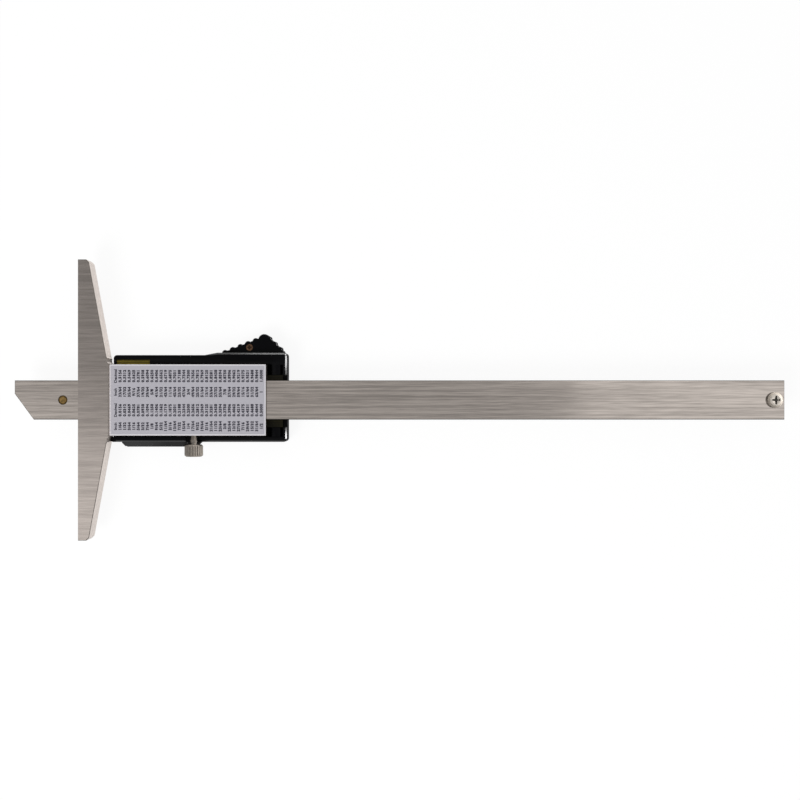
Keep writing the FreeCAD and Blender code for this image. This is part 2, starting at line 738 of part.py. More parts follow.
def cut_seats(piece):
    """Seats in the rim for the frame, the beam, the board's tab and the lock screw."""
    seat = box("shell_left", "-frame_half - shell_fit_gap", "cavity_left", "cavity_top")
    piece.cut("z", "-rail_front", "-shell_rim", seat)
    notch = box("cavity_right", "-board_low_reach", "shell_right", "board_top_reach")
    piece.cut("z", "-board_front", "-shell_rim", notch)
    tab = box("cavity_left", "cavity_top", "board_tab_end + board_fit", "board_tab_reach + board_fit")
    piece.cut("z", "-board_front", "-shell_rim", tab)
    screw_notch = box("ledge_step_start", "-shell_low", "ledge_end", "-cavity_low")
    piece.cut("z", "-lock_knob_diameter / 2 - lock_notch_gap", "-shell_rim", screw_notch)


def cut_front(piece):
    """The front face: display window, button holes and the rebate of the battery cover."""
    piece.cut("z", "-shell_front", "-shell_floor",
              box("display_start", "-display_low", "display_end", "display_top"))
    piece.cut("z", "-shell_front", "-window_back",
              box("display_start - window_rebate", "-display_low - window_rebate",
                  "display_end + window_rebate", "display_top + window_rebate"))
    for place in range(len(BUTTONS)):
        hole = (f"button_first + {place} * button_pitch", "button_line", "button_radius + button_gap")
        piece.cut("z", "-shell_front", "-shell_floor", hole)
    piece.cut("z", "-shell_front", "-cover_floor",
              box("cover_start", "-cover_half_width", "shell_right", "cover_half_width"))
    half = "cover_half_width + cover_tongue"
    piece.cut("z", "-tongue_floor", "-cover_floor", box("cover_start", f"-({half})", "shell_right", half))


def cut_port(piece):
    """The data port's track in the ledge, and the port through the wall behind it."""
    track = box("port_track_start", "-port_track_front", "ledge_end", "-port_track_back")
    piece.cut("y", "-ledge_low", "-port_floor", track)
    lips = box("port_track_start", "-port_track_front - port_lip", "ledge_end",
               "-port_track_back + port_lip")
    piece.cut("y", "-port_floor - port_lip_depth", "-port_floor", lips)
    port = box("port_hole_start", "-port_track_front + port_hole_margin",
               "port_hole_start + port_hole_length", "-port_track_back - port_hole_margin")
    piece.cut("y", "-port_floor", "-cavity_low", port)


def make_grip():
    """The serrated thumb grip, a separate moulding that caps the housing's lug, and its screw."""
    piece = Piece("thumb_grip")
    foot = "shell_shoulder + shell_fit_gap"
    peak = "shell_shoulder + grip_height"
    back_top, front_top = f"{peak} - grip_back_drop", f"{peak} - grip_front_drop"
    outline = [("grip_start", foot), ("grip_end", foot), ("grip_end", "shell_shoulder + grip_heel_height")]
    outline += [("grip_peak_end", back_top), ("grip_peak_start", front_top)]
    outline += [("grip_start", "shell_shoulder + grip_toe_height")]
    piece.pad("z", "-grip_front", "-grip_back", outline)
    rise, run = f"{front_top} - shell_shoulder - grip_toe_height", "grip_peak_start - grip_start"
    slope = f"atan(({rise}) / ({run}))"
    bump = ("grip_bump_start", "-grip_bump_sink", "grip_bump_radius")
    row = piece.pad("z", "-grip_front", "-grip_back", bump, across="grip_start",
                    up="shell_shoulder + grip_toe_height", turn=slope)
    piece.repeat("LinearPattern", row, "grip_bump_count", Direction=(row.Profile[0], ["H_Axis"]),
                 Length="grip_bump_run")
    fall = f"{back_top} - shell_shoulder - grip_heel_height"
    back_slope = f"-atan(({fall}) / (grip_end - grip_peak_end))"
    rib = ("grip_rib_radius", "-grip_rib_sink", "grip_rib_radius")
    ribs = piece.pad("z", "-grip_front", "-grip_back", rib, across="grip_peak_end", up=back_top,
                     turn=back_slope)
    piece.repeat("LinearPattern", ribs, "grip_rib_count", Direction=(ribs.Profile[0], ["H_Axis"]),
                 Length="grip_rib_run")
    crown = ("(grip_peak_start + grip_peak_end) / 2", f"{peak} - grip_crown_radius", "grip_crown_radius")
    piece.pad("z", "-grip_front", "-grip_back", crown)
    margin = "grip_bump_radius + grip_rib_radius"
    below = box(f"grip_start - ({margin})", f"{foot} - ({margin})", f"grip_end + {margin}", foot)
    piece.cut("z", "-grip_front", "-grip_back", below)
    pocket = lug_outline(foot, "shell_fit_gap")
    piece.cut("z", "-grip_front", "-lug_back + shell_fit_gap", pocket)
    spot = ("grip_screw_place", "shell_shoulder + grip_screw_height")
    seat = "-grip_back - grip_screw_sink - grip_screw_head_height"
    piece.cut("z", seat, "-grip_back", (*spot, "grip_screw_head_radius + screw_hole_gap"))
    piece.cut("z", "-lug_back", seat, (*spot, "grip_screw_shank_radius + screw_hole_gap"))
    screw = Piece("grip_screw")
    top = "-grip_back - grip_screw_sink"
    low = "-lug_back - grip_screw_bite"
    profile = [("0", low), ("grip_screw_shank_radius", low), ("grip_screw_shank_radius", seat)]
    profile += [("grip_screw_head_radius", seat), ("grip_screw_head_radius", top), ("0", top)]
    screw.turn("z", profile, across=spot[0], depth=spot[1])
    cross(screw, *spot, "grip_screw_recess_reach", top, "grip_screw_recess_depth")


def make_electronics():
    """The board and what it carries, the display, its window and the cell."""
    board = Piece("circuit_board")
    left, right = "cavity_left + board_fit", "cavity_right - board_fit"
    outline = [(left, "-board_low_reach"), (right, "-board_low_reach"), (right, "board_top_reach")]
    outline += [("board_tab_end", "board_top_reach"), ("board_tab_end", "board_tab_reach")]
    outline += [(left, "board_tab_reach")]
    board.pad("z", "-board_front", "-rail_front", outline)
    for across in ("frame_screw_left", "frame_screw_right"):
        for side in ("-", ""):
            notch = (across, f"{side}frame_screw_half_width", "boss_neck_radius + board_fit")
            board.cut("z", "-board_front", "-rail_front", notch)
    chip = Piece("controller_chip")
    chip.pad("z", "-board_front - chip_height", "-board_front",
             box("chip_start", "-chip_size / 2", "chip_start + chip_size", "chip_size / 2"))
    glass = Piece("lcd_glass")
    glass.pad("z", "-shell_floor", "-glass_back",
              box("display_start - display_margin", "-display_low - display_margin",
                  "display_end + display_margin", "display_top + display_margin"))
    strip = Piece("lcd_connector")
    strip.pad("z", "-glass_back", "-board_front",
              box("display_start", "-connector_low", "display_end", "connector_width - connector_low"))
    window = Piece("lcd_window")
    edge = "window_rebate - window_gap"
    window.pad("z", "-window_front", "-window_back",
               box(f"display_start - ({edge})", f"-display_low - ({edge})", f"display_end + {edge}",
                   f"display_top + {edge}"))
    domes = Piece("dome_contacts")
    for place in range(len(BUTTONS)):
        spot = (f"button_first + {place} * button_pitch", "button_line", "dome_radius")
        domes.pad("z", "-dome_front", "-board_front", spot)


def make_buttons():
    """Three round push buttons, each with a flange behind the wall and a stem over its dome."""
    for place, label in enumerate(BUTTONS):
        piece = Piece(label)
        front = "button_sink - shell_front"
        flange = "button_stop_gap - shell_floor"
        back = f"{flange} + button_flange_thickness"
        stem = "-dome_front - button_travel - button_stop_gap"
        rim = "button_radius - button_bevel"
        profile = [("0", front), (rim, front), ("button_radius", f"{front} + button_bevel")]
        profile += [("button_radius", flange)]
        profile += [("button_flange_radius", flange), ("button_flange_radius", back)]
        profile += [("button_stem_radius", back), ("button_stem_radius", stem), ("0", stem)]
        piece.turn("z", profile, across=f"button_first + {place} * button_pitch", depth="button_line")


def make_battery():
    """The cell, its two contacts and the cover that slides out over the tail."""
    cell = Piece("battery_cell")
    neck = "cell_radius - cell_shoulder"
    step = "-cell_back - cell_step"
    profile = [("0", "-cell_front"), ("cell_radius", "-cell_front"), ("cell_radius", step), (neck, step)]
    profile += [(neck, "-cell_back"), ("0", "-cell_back")]
    cell.turn("z", profile, across="cell_place")
    minus = Piece("contact_minus")
    foot = "-board_front - contact_thickness"
    tip = "contact_tip_gap - cell_back"
    start, rise = "cell_place - contact_reach", "cell_place - contact_rise_start"
    end = "cell_place + contact_tip"
    leaf = [(start, foot), (rise, foot), (end, tip), (f"{end} + contact_foot", tip)]
    leaf += [(f"{end} + contact_foot", f"{tip} + contact_thickness"), (end, f"{tip} + contact_thickness")]
    leaf += [(rise, "-board_front"), (start, "-board_front")]
    minus.pad("y", "-contact_width / 2", "contact_width / 2", leaf)
    plus = Piece("contact_plus")
    inner = "cell_place + cell_radius + cell_gap / 2"
    outer = f"{inner} + contact_thickness"
    strip = [(inner, "cell_shoulder - cell_front"), (outer, "cell_shoulder - cell_front"), (outer, foot)]
    strip += [(f"{outer} + contact_foot", foot), (f"{outer} + contact_foot", "-board_front")]
    strip += [(inner, "-board_front")]
    plus.pad("y", "-contact_width / 2", "contact_width / 2", strip)
    cover = Piece("battery_cover")
    half = "cover_half_width - cover_gap"
    left = "cover_start + cover_gap"
    floor = "-cover_floor - cover_gap"
    cover.pad("z", "-shell_front", floor, box(left, f"-({half})", "shell_right", half))
    cover.ease("Fillet", "shell_front_radius", lambda edge: (
        level(edge, "Z", "-shell_front") and level(edge, "X", "shell_right")))
    wide = f"{half} + cover_tongue"
    tongue = box(left, f"-({wide})", "shell_right - rim_bevel", wide)
    cover.pad("z", "-tongue_floor + cover_gap", floor, tongue)
    ridge_start = "cover_start + cover_ridge_inset"
    ridge = box(ridge_start, f"-({half}) / 2", f"{ridge_start} + cover_ridge_width", f"({half}) / 2")
    first = cover.cut("z", "-shell_front", "cover_ridge_depth - shell_front", ridge)
    cover.repeat("LinearPattern", first, "cover_ridge_count", Direction=(cover.origin("X_Axis"), [""]),
                 Length="cover_ridge_pitch * (cover_ridge_count - 1)")


def make_port_cover():
    """The ribbed cover of the data port, which slides in the ledge's track."""
    piece = Piece("data_port_cover")
    left = "port_track_start + port_gap"
    right = f"{left} + port_track_length"
    front, back = "-port_track_front + port_gap", "-port_track_back - port_gap"
    piece.pad("y", "-ledge_low", "-port_floor - port_gap", box(left, front, right, back))
    piece.pad("y", "-port_floor - port_lip_depth + port_gap", "-port_floor - port_gap",
              box(left, f"{front} - port_lip", right, f"{back} + port_lip"))
    pitch = f"(({back}) - ({front})) / port_rib_count"
    for row in range(SIZES["port_rib_count"]):
        low = f"{front} + ({pitch}) * ({row} + 1 / 2) - port_rib_width / 2"
        piece.pad("y", "-ledge_low - port_rib_height", "-ledge_low",
                  box(left, low, right, f"{low} + port_rib_width"))


make_base()
make_frame_parts()
make_beam()
make_lock_screw()
make_housing()
make_grip()
make_electronics()
make_buttons()
make_battery()
make_port_cover()
doc.recompute()

for item in doc.Objects:
    if "Invalid" in item.State or "Error" in item.State:
        raise RuntimeError(f"{item.Label} failed: {item.State}")
os.makedirs("parts", exist_ok=True)
for piece_body in pieces:
    shape = piece_body.Shape
    if shape.isNull() or not shape.isValid():
        raise RuntimeError(f"{piece_body.Label} is not a valid solid")
for piece_body in pieces:
    piece_body.Shape.exportStep(f"parts/{piece_body.Label}.step")
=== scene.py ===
"""Electronic depth caliper seen from the back: finishes, printed marks, eased edges, light and camera."""

import logging
import math
from collections.abc import Callable, Iterable
from dataclasses import dataclass, field, replace
from enum import Enum
from fractions import Fraction

import bmesh
import bpy
from mathutils import Matrix, Vector


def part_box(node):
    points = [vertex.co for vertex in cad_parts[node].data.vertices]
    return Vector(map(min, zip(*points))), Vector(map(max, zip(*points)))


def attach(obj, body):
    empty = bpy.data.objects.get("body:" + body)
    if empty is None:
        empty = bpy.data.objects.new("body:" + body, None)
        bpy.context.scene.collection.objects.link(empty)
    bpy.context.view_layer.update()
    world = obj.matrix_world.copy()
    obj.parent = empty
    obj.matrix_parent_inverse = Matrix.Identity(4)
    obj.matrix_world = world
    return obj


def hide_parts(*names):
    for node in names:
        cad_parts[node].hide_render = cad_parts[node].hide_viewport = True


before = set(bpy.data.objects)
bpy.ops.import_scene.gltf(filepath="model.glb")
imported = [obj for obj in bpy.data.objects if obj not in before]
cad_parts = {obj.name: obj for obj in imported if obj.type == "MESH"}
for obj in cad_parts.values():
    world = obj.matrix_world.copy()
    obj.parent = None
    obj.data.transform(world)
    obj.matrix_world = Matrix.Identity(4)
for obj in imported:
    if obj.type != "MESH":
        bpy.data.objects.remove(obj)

LOG = logging.getLogger("depth_caliper")
MM = 0.001

# A place in Y beyond the whole instrument, in millimetres
NOWHERE = -1000.0
# Length of one wave of the wave texture whose scale is one
WAVE_LENGTH = 2 * math.pi / 20
# Corners of a construction mesh that lie nearer than this are one, in millimetres
MERGE_DISTANCE = 0.0005
# Faces that meet at less than this angle are one plane, in degrees
PLANE_ANGLE = 0.5

Colour = tuple[float, float, float, float]
Levels = tuple[tuple[float, float], ...]
Mesh = bpy.types.Mesh
EditMesh = bmesh.types.BMesh
Tree = bpy.types.NodeTree
Node = bpy.types.Node
Socket = bpy.types.NodeSocket
WHITE: Colour = (1.0, 1.0, 1.0, 1.0)


class Body(Enum):
    """The moving bodies of the instrument."""

    HEAD = "head"
    BEAM = "beam"
    LOCK_SCREW = "lock_screw"
    BATTERY_COVER = "battery_cover"
    PORT_COVER = "port_cover"


class Slot(Enum):
    """The material slot names that are passed to set_piece with each new piece."""

    PLASTIC = "black_plastic"
    LABEL = "label_film"
    SCALE = "scale_print"
    SCREW = "screw_steel"
    KNURL = "knurled_steel"
    DISPLAY = "display_glass"
    WINDOW = "window_glass"
    GRIP_SCREW = "screw_brass"


class Axis(Enum):
    """The axis that a turned piece was turned about, and that its rings lie round."""

    X = "X"
    Y = "Y"
    Z = "Z"


class Side(Enum):
    """The side of the instrument that a print faces."""

    BACK = 1
    FRONT = -1


def linear(code: str) -> Colour:
    """Turn an sRGB hex colour to the linear colour that a shader takes.

    Args:
        code: Six hex digits after a hash sign.

    Returns:
        Red, green, blue and an alpha of one.
    """
    parts = [int(code[start:start + 2], 16) / 255 for start in (1, 3, 5)]
    curve = [part / 12.92 if part <= 0.04045 else ((part + 0.055) / 1.055) ** 2.4 for part in parts]
    return (*curve, 1.0)


def shade(code: str, factor: float) -> Colour:
    """A hex colour made darker or lighter in linear light.

    Args:
        code: Six hex digits after a hash sign.
        factor: What each channel is multiplied by.

    Returns:
        The linear colour, with each channel at most one.
    """
    return (*(min(1.0, part * factor) for part in linear(code)[:3]), 1.0)


def grey_stops(levels: Iterable[tuple[float, float]]) -> list[tuple[float, Colour]]:
    """Places and grey levels as the stops of a colour ramp."""
    return [(place, (level, level, level, 1.0)) for place, level in levels]


def add_node(tree: Tree, kind: str, inputs: dict | None = None,
             stops: list[tuple[float, Colour]] | None = None, **settings) -> Node:
    """Add one node with its settings, its colour stops and its inputs.

    Args:
        tree: The node tree that gets the node.
        kind: The node's type name after ShaderNode.
        inputs: For each input, by name or number, a socket to link, a node whose first output is
            linked, or a value to set.
        stops: Places and colours of a colour ramp, in rising order.
        settings: The node's own properties.

    Returns:
        The new node.
    """
    node = tree.nodes.new(f"ShaderNode{kind}")
    for name, setting in settings.items():
        setattr(node, name, setting)
    if stops:
        elements = node.color_ramp.elements
        elements[0].position, elements[1].position = stops[0][0], stops[-1][0]
        for place, _ in stops[1:-1]:
            elements.new(place)
        for element, (_, colour) in zip(elements, stops):
            element.color = colour
    for slot, source in (inputs or {}).items():
        if isinstance(source, (Node, Socket)):
            tree.links.new(source.outputs[0] if isinstance(source, Node) else source, node.inputs[slot])
        else:
            node.inputs[slot].default_value = source
    return node


@dataclass(frozen=True)
class Finish:
    """What a surface is made of. A subclass paints what its making leaves on it."""

    name: str
    colour: str
    roughness: float = 0.5
    metallic: float = 0.0
    # How far the roughness goes to each side of its own value
    unevenness: float = 0.05
    # Middle and half width of the flatness that broken and rounded edges have
    edge_lean: tuple[float, float] = (0.7, 0.22)

    def material(self) -> bpy.types.Material:
        """The finish as a material, made when it is first asked for.

        Returns:
            The material of this finish.
        """
        made = bpy.data.materials.get(self.name)
        if made is None:
            made = bpy.data.materials.new(self.name)
            made.use_nodes = True
            tree = made.node_tree
            tree.nodes.clear()
            start = {"Base Color": linear(self.colour), "Roughness": self.roughness,
                     "Metallic": self.metallic}
            shader = add_node(tree, "BsdfPrincipled", start)
            add_node(tree, "OutputMaterial", {"Surface": shader})
            place = add_node(tree, "TexCoord").outputs["Object"]
            self.paint(tree, shader, place)
        return made

    def paint(self, tree: Tree, shader: Node, place: Socket) -> None:
        """Add what the surface's making leaves on it, which is nothing by default.

        Args:
            tree: The material's node tree.
            shader: The surface shader.
            place: The coordinates on the piece.
        """

    def speckle(self, tree: Tree, place: Socket, size: Vector, detail: float = 2.0) -> Socket:
        """Noise whose grains have a real size along each axis.

        Args:
            tree: The material's node tree.
            place: The coordinates that the noise is read at.
            size: Length of a grain along X, Y and Z, in millimetres.
            detail: How many finer layers the noise has.

        Returns:
            The noise's factor.
        """
        scale = Vector([1 / (length * MM) for length in size])
        spread = add_node(tree, "Mapping", {"Vector": place, "Scale": scale})
        noise = add_node(tree, "TexNoise", {"Vector": spread, "Scale": 1.0, "Detail": detail})
        return noise.outputs["Fac"]

    def tint(self, tree: Tree, shader: Node, factor: Socket,
             low: float, high: float, start: float = 0.3, end: float = 0.7) -> Socket:
        """Vary the base colour between two shades of it.

        Args:
            tree: The material's node tree.
            shader: The surface shader.
            factor: What the shade follows.
            low: The darker shade's share of the colour.
            high: The lighter shade's share of the colour.
            start: The factor at which the darker shade ends.
            end: The factor at which the lighter shade begins.

        Returns:
            The colour that the surface got.
        """
        stops = [(start, shade(self.colour, low)), (end, shade(self.colour, high))]
        ramp = add_node(tree, "ValToRGB", {"Fac": factor}, stops)
        tree.links.new(ramp.outputs["Color"], shader.inputs["Base Color"])
        return ramp.outputs["Color"]

    def darken(self, tree: Tree, shader: Node, colour: Socket, mask: Socket, share: float) -> Socket:
        """Make the base colour darker where a mask says so.

        Args:
            tree: The material's node tree.
            shader: The surface shader.
            colour: The colour elsewhere.
            mask: One where the surface is dark.
            share: The share of the colour that is left there.

        Returns:
            The colour that the surface got.
        """
        left = add_node(tree, "MapRange", {"Value": mask, "To Min": 1.0, "To Max": share})
        dark = add_node(tree, "VectorMath", {0: colour, "Scale": left}, operation="SCALE")
        tree.links.new(dark.outputs[0], shader.inputs["Base Color"])
        return dark.outputs[0]

    def polish(self, tree: Tree, shader: Node, factor: Socket) -> Socket:
        """Vary the roughness about its own value.

        Args:
            tree: The material's node tree.
            shader: The surface shader.
            factor: What the roughness follows.

        Returns:
            The roughness that the surface got.
        """
        limits = {"Value": factor, "From Min": 0.25, "From Max": 0.75,
                  "To Min": self.roughness - self.unevenness, "To Max": self.roughness + self.unevenness}
        swing = add_node(tree, "MapRange", limits)
        tree.links.new(swing.outputs["Result"], shader.inputs["Roughness"])
        return swing.outputs["Result"]

    def flatness(self, tree: Tree) -> Socket:
        """How nearly the surface lies flat.

        Args:
            tree: The material's node tree.

        Returns:
            One on flat faces and nought on upright ones.
        """
        normal = add_node(tree, "NewGeometry").outputs["Normal"]
        lean = add_node(tree, "SeparateXYZ", {0: normal}).outputs["Z"]
        return add_node(tree, "Math", {0: lean}, operation="ABSOLUTE").outputs[0]

    def edges(self, tree: Tree) -> Socket:
        """Where the surface leans between flat and upright, as broken and rounded edges do.

        Args:
            tree: The material's node tree.

        Returns:
            One on such edges and nought on faces.
        """
        middle, reach = self.edge_lean
        return add_node(tree, "Math", {0: self.flatness(tree), 1: middle, 2: reach},
                        operation="COMPARE").outputs[0]

    def relief(self, tree: Tree, shader: Node, factor: Socket,
               depth: float, strength: float = 0.5) -> None:
        """Raise and sink the surface a little.

        Args:
            tree: The material's node tree.
            shader: The surface shader.
            factor: What the height follows.
            depth: The height between low and high, in millimetres.
            strength: The share of that height which shows.
        """
        bump = add_node(tree, "Bump", {"Height": factor, "Distance": depth * MM, "Strength": strength})
        tree.links.new(bump.outputs["Normal"], shader.inputs["Normal"])


@dataclass(frozen=True)
class GroundSteel(Finish):
    """Stainless steel, ground along its length. Long scratches draw its reflections out across them."""

    metallic: float = 1.0
    # Length and width of a scratch and of a band of scratches, in millimetres
    scratch: tuple[float, float] = (9.0, 0.22)
    band: tuple[float, float] = (70.0, 0.8)
    # The noise's levels between which the steel goes from dark to light
    spread: tuple[float, float] = (0.38, 0.62)
    depth: float = 0.002
    contrast: float = 0.26
    stretch: float = 0.8
    # Share of colour left on the chamfered edges, as painted shade, and the roughness of edges and sides
    edge_share: float = 0.18
    edge_roughness: float = 0.8
    side_roughness: float = 0.3
    # Flatness where sides end, where edges begin and end, and where faces begin
    leans: tuple[float, float, float, float] = (0.44, 0.48, 0.92, 0.94)
    # Places in Y beyond which the long edge bands carry painted shade, and the place in X beyond which the
    # steel carries painted shade
    lips: tuple[float, float] | None = None
    lip_share: float = 0.55
    soiled_beyond: float | None = None
    soiled_share: float = 0.16

    def paint(self, tree: Tree, shader: Node, place: Socket) -> None:
        """Scratches in colour and height, stretched reflections, edges dulled by a stone and darkened as
        painted shade, painted shade along the long edge bands, and painted shade beyond a place in X.
        """
        (length, width), (band_length, band_width) = self.scratch, self.band
        fine = self.speckle(tree, place, Vector((length, width, width)), 3.0)
        broad = self.speckle(tree, place, Vector((band_length, band_width, band_width)), 1.0)
        both = add_node(tree, "Math", {0: fine, 1: broad}, operation="ADD")
        half = add_node(tree, "Math", {0: both, 1: 0.5}, operation="MULTIPLY")
        colour = self.tint(tree, shader, half.outputs[0], 1 - self.contrast, 1 + self.contrast, *self.spread)
        # Painted shade: the chamfered edges are darkened
        edges = self.edges(tree)
        colour = self.darken(tree, shader, colour, edges, self.edge_share)
        # Painted shade along both long edge bands
        if self.lips:
            along = add_node(tree, "SeparateXYZ", {0: place}).outputs["Y"]
            middle, half = sum(self.lips) / 2 * MM, (self.lips[1] - self.lips[0]) / 2 * MM
            inner = add_node(tree, "Math", {0: along, 1: middle, 2: half}, operation="COMPARE")
            lip_shade = add_node(tree, "Math", {0: 1.0, 1: inner}, operation="SUBTRACT")
            colour = self.darken(tree, shader, colour, lip_shade.outputs[0], self.lip_share)
        # Painted shade on the steel beyond a place in X
        if self.soiled_beyond:
            along = add_node(tree, "SeparateXYZ", {0: place}).outputs["X"]
            end_shade = add_node(tree, "Math", {0: along, 1: self.soiled_beyond * MM},
                              operation="GREATER_THAN")
            self.darken(tree, shader, colour, end_shade.outputs[0], self.soiled_share)
        levels = (self.side_roughness, self.edge_roughness, self.edge_roughness, self.roughness)
        rough = add_node(tree, "ValToRGB", {"Fac": self.flatness(tree)},
                         grey_stops(zip(self.leans, levels)))
        tree.links.new(rough.outputs["Color"], shader.inputs["Roughness"])
        self.relief(tree, shader, fine, self.depth)
        normal = add_node(tree, "NewGeometry").outputs["Normal"]
        across = add_node(tree, "VectorMath", {0: normal, 1: (1.0, 0.0, 0.0)}, operation="CROSS_PRODUCT")
        # A little is added so that the tangent never vanishes on faces across X
        kept = add_node(tree, "VectorMath", {0: across, 1: (0.0, 0.01, 0.01)}, operation="ADD")
        tree.links.new(kept.outputs[0], shader.inputs["Tangent"])
        shader.inputs["Anisotropic"].default_value = self.stretch


@dataclass(frozen=True)
class TurnedMetal(Finish):
    """Metal turned on a lathe and plated. Fine rings lie round its own axis."""

    metallic: float = 1.0
    centre: tuple[float, float, float] = (0.0, 0.0, 0.0)
    axis: Axis = Axis.Z
    ring: float = 0.3
    ring_depth: float = 0.004
    ring_strength: float = 0.4
    cloud: float = 0.8
    contrast: float = 0.08
    top: float = 0.0
    # Radius and depth of the painted shade in the drive recess, the share of colour left there, and the
    # radius outside which a ring of painted shade lies
    recess: float = 0.0
    recess_start: float = 0.1
    recess_share: float = 0.06
    rim: float = 0.0
    # Share of colour left on leaning edges: below one a painted shade, above one a painted highlight; and
    # their roughness
    edge_share: float = 1.0
    edge_roughness: float = 0.9
    # Share of colour left on upright sides, as painted shade, and the flatness below which they count
    side_share: float = 1.0
    side_lean: float = 0.48

    def about(self, node: str) -> "TurnedMetal":
        """The same finish with its rings about the middle of a node.

        Args:
            node: The construction node whose middle is meant.

        Returns:
            The finish about that place.
        """
        low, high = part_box(node)
        return replace(self, centre=tuple((low + high) / 2), top=(high.z - low.z) / 2)

    def dirt(self, tree: Tree, local: Socket) -> Socket:
        """Where painted shade sits: deep in the drive recess, or outside the rim's radius.

        Args:
            tree: The material's node tree.
            local: The place from the middle of the piece.

        Returns:
            One where the painted shade is.
        """
        parts = add_node(tree, "SeparateXYZ", {0: local})
        flat = add_node(tree, "VectorMath", {0: local, 1: (1.0, 1.0, 0.0)}, operation="MULTIPLY")
        reach = add_node(tree, "VectorMath", {0: flat}, operation="LENGTH").outputs["Value"]
        if self.rim:
            return add_node(tree, "Math", {0: reach, 1: self.rim * MM},
                            operation="GREATER_THAN").outputs[0]
        deep = add_node(tree, "Math",
                        {0: parts.outputs["Z"], 1: self.top - self.recess_start * MM},
                        operation="LESS_THAN")
        near = add_node(tree, "Math", {0: reach, 1: self.recess * MM}, operation="LESS_THAN")
        return add_node(tree, "Math", {0: deep, 1: near}, operation="MULTIPLY").outputs[0]

    def paint(self, tree: Tree, shader: Node, place: Socket) -> None:
        """Turning rings, a faint unevenness of the plating, and painted shade in the drive recess or round
        the rim, on edges and on sides where asked; edges can take a painted highlight instead.
        """
        local = add_node(tree, "VectorMath", {0: place, 1: Vector(self.centre)}, operation="SUBTRACT")
        rings = add_node(tree, "TexWave",
                         {"Vector": local, "Scale": WAVE_LENGTH / (self.ring * MM)},
                         wave_type="RINGS", rings_direction=self.axis.value)
        self.relief(tree, shader, rings.outputs["Fac"], self.ring_depth, self.ring_strength)
        cloud = self.speckle(tree, place, Vector((self.cloud,) * 3))
        colour = self.tint(tree, shader, cloud, 1 - self.contrast, 1 + self.contrast)
        self.polish(tree, shader, cloud)
        # Painted shade in the drive recess, or as a ring outside the rim
        if self.recess or self.rim:
            colour = self.darken(tree, shader, colour, self.dirt(tree, local.outputs[0]), self.recess_share)
        # Painted shade or painted highlight on leaning edges, which are also made rougher
        if self.edge_share != 1:
            edges = self.edges(tree)
            colour = self.darken(tree, shader, colour, edges, self.edge_share)
            rough = add_node(tree, "MapRange",
                             {"Value": edges, "To Min": self.roughness, "To Max": self.edge_roughness})
            tree.links.new(rough.outputs["Result"], shader.inputs["Roughness"])
        # Painted shade on the upright sides
        if self.side_share != 1:
            sides = add_node(tree, "Math", {0: self.flatness(tree), 1: self.side_lean},
                             operation="LESS_THAN")
            self.darken(tree, shader, colour, sides.outputs[0], self.side_share)


@dataclass(frozen=True)
class MouldedPlastic(Finish):
    """Plastic from a spark-eroded mould: an even fine grain that breaks up its gloss."""

    unevenness: float = 0.07
    grain: float = 0.3
    depth: float = 0.01
    contrast: float = 0.25
    gloss: float = 0.3
    edge_gloss: float = 0.3
    side_gloss: float = 0.3
    side_roughness: float = 0.75
    # Flatness where sides end, where edges begin and end, and where faces begin
    leans: tuple[float, float, float, float] = (0.42, 0.48, 0.9, 0.95)
    # The place in Y below which hands keep it bright, how soon that begins and how far apart its clouds are
    handled_below: float = NOWHERE
    handled_blend: float = 0.1
    handled_cloud: float = 9.0
    handled_gloss: float = 0.6

    def paint(self, tree: Tree, shader: Node, place: Socket) -> None:
        """The mould's grain, a gloss made uneven by handling, edges rubbed bright and matt sides."""
        grain = self.speckle(tree, place, Vector((self.grain,) * 3), 2.0)
        broad = self.speckle(tree, place, Vector((self.handled_cloud,) * 3), 2.0)
        self.relief(tree, shader, grain, self.depth)
        self.tint(tree, shader, grain, 1 - self.contrast, 1 + self.contrast)
        levels = (self.side_gloss, self.edge_gloss, self.edge_gloss, self.gloss)
        flat = self.flatness(tree)
        gloss = add_node(tree, "ValToRGB", {"Fac": flat}, grey_stops(zip(self.leans, levels)))
        along = add_node(tree, "SeparateXYZ", {0: place}).outputs["Y"]
        handled = add_node(tree, "MapRange",
                           {"Value": along, "From Min": self.handled_below * MM,
                            "From Max": (self.handled_below + self.handled_blend) * MM,
                            "To Min": self.handled_gloss, "To Max": gloss})
        tree.links.new(handled.outputs["Result"], shader.inputs["Specular IOR Level"])
        rough = add_node(tree, "MapRange",
                         {"Value": flat, "From Min": self.leans[0], "From Max": self.leans[1],
                          "To Min": self.side_roughness, "To Max": self.polish(tree, shader, broad)})
        tree.links.new(rough.outputs["Result"], shader.inputs["Roughness"])


@dataclass(frozen=True)
class CoatedFilm(Finish):
    """Polyester film or ink: a smooth coat over an even pigment with a very fine mottle."""

    unevenness: float = 0.04
    mottle: float = 0.35
    contrast: float = 0.04

    def paint(self, tree: Tree, shader: Node, place: Socket) -> None:
        """The pigment's mottle."""
        cloud = self.speckle(tree, place, Vector((self.mottle,) * 3), 3.0)
        self.tint(tree, shader, cloud, 1 - self.contrast, 1 + self.contrast)
        self.polish(tree, shader, cloud)


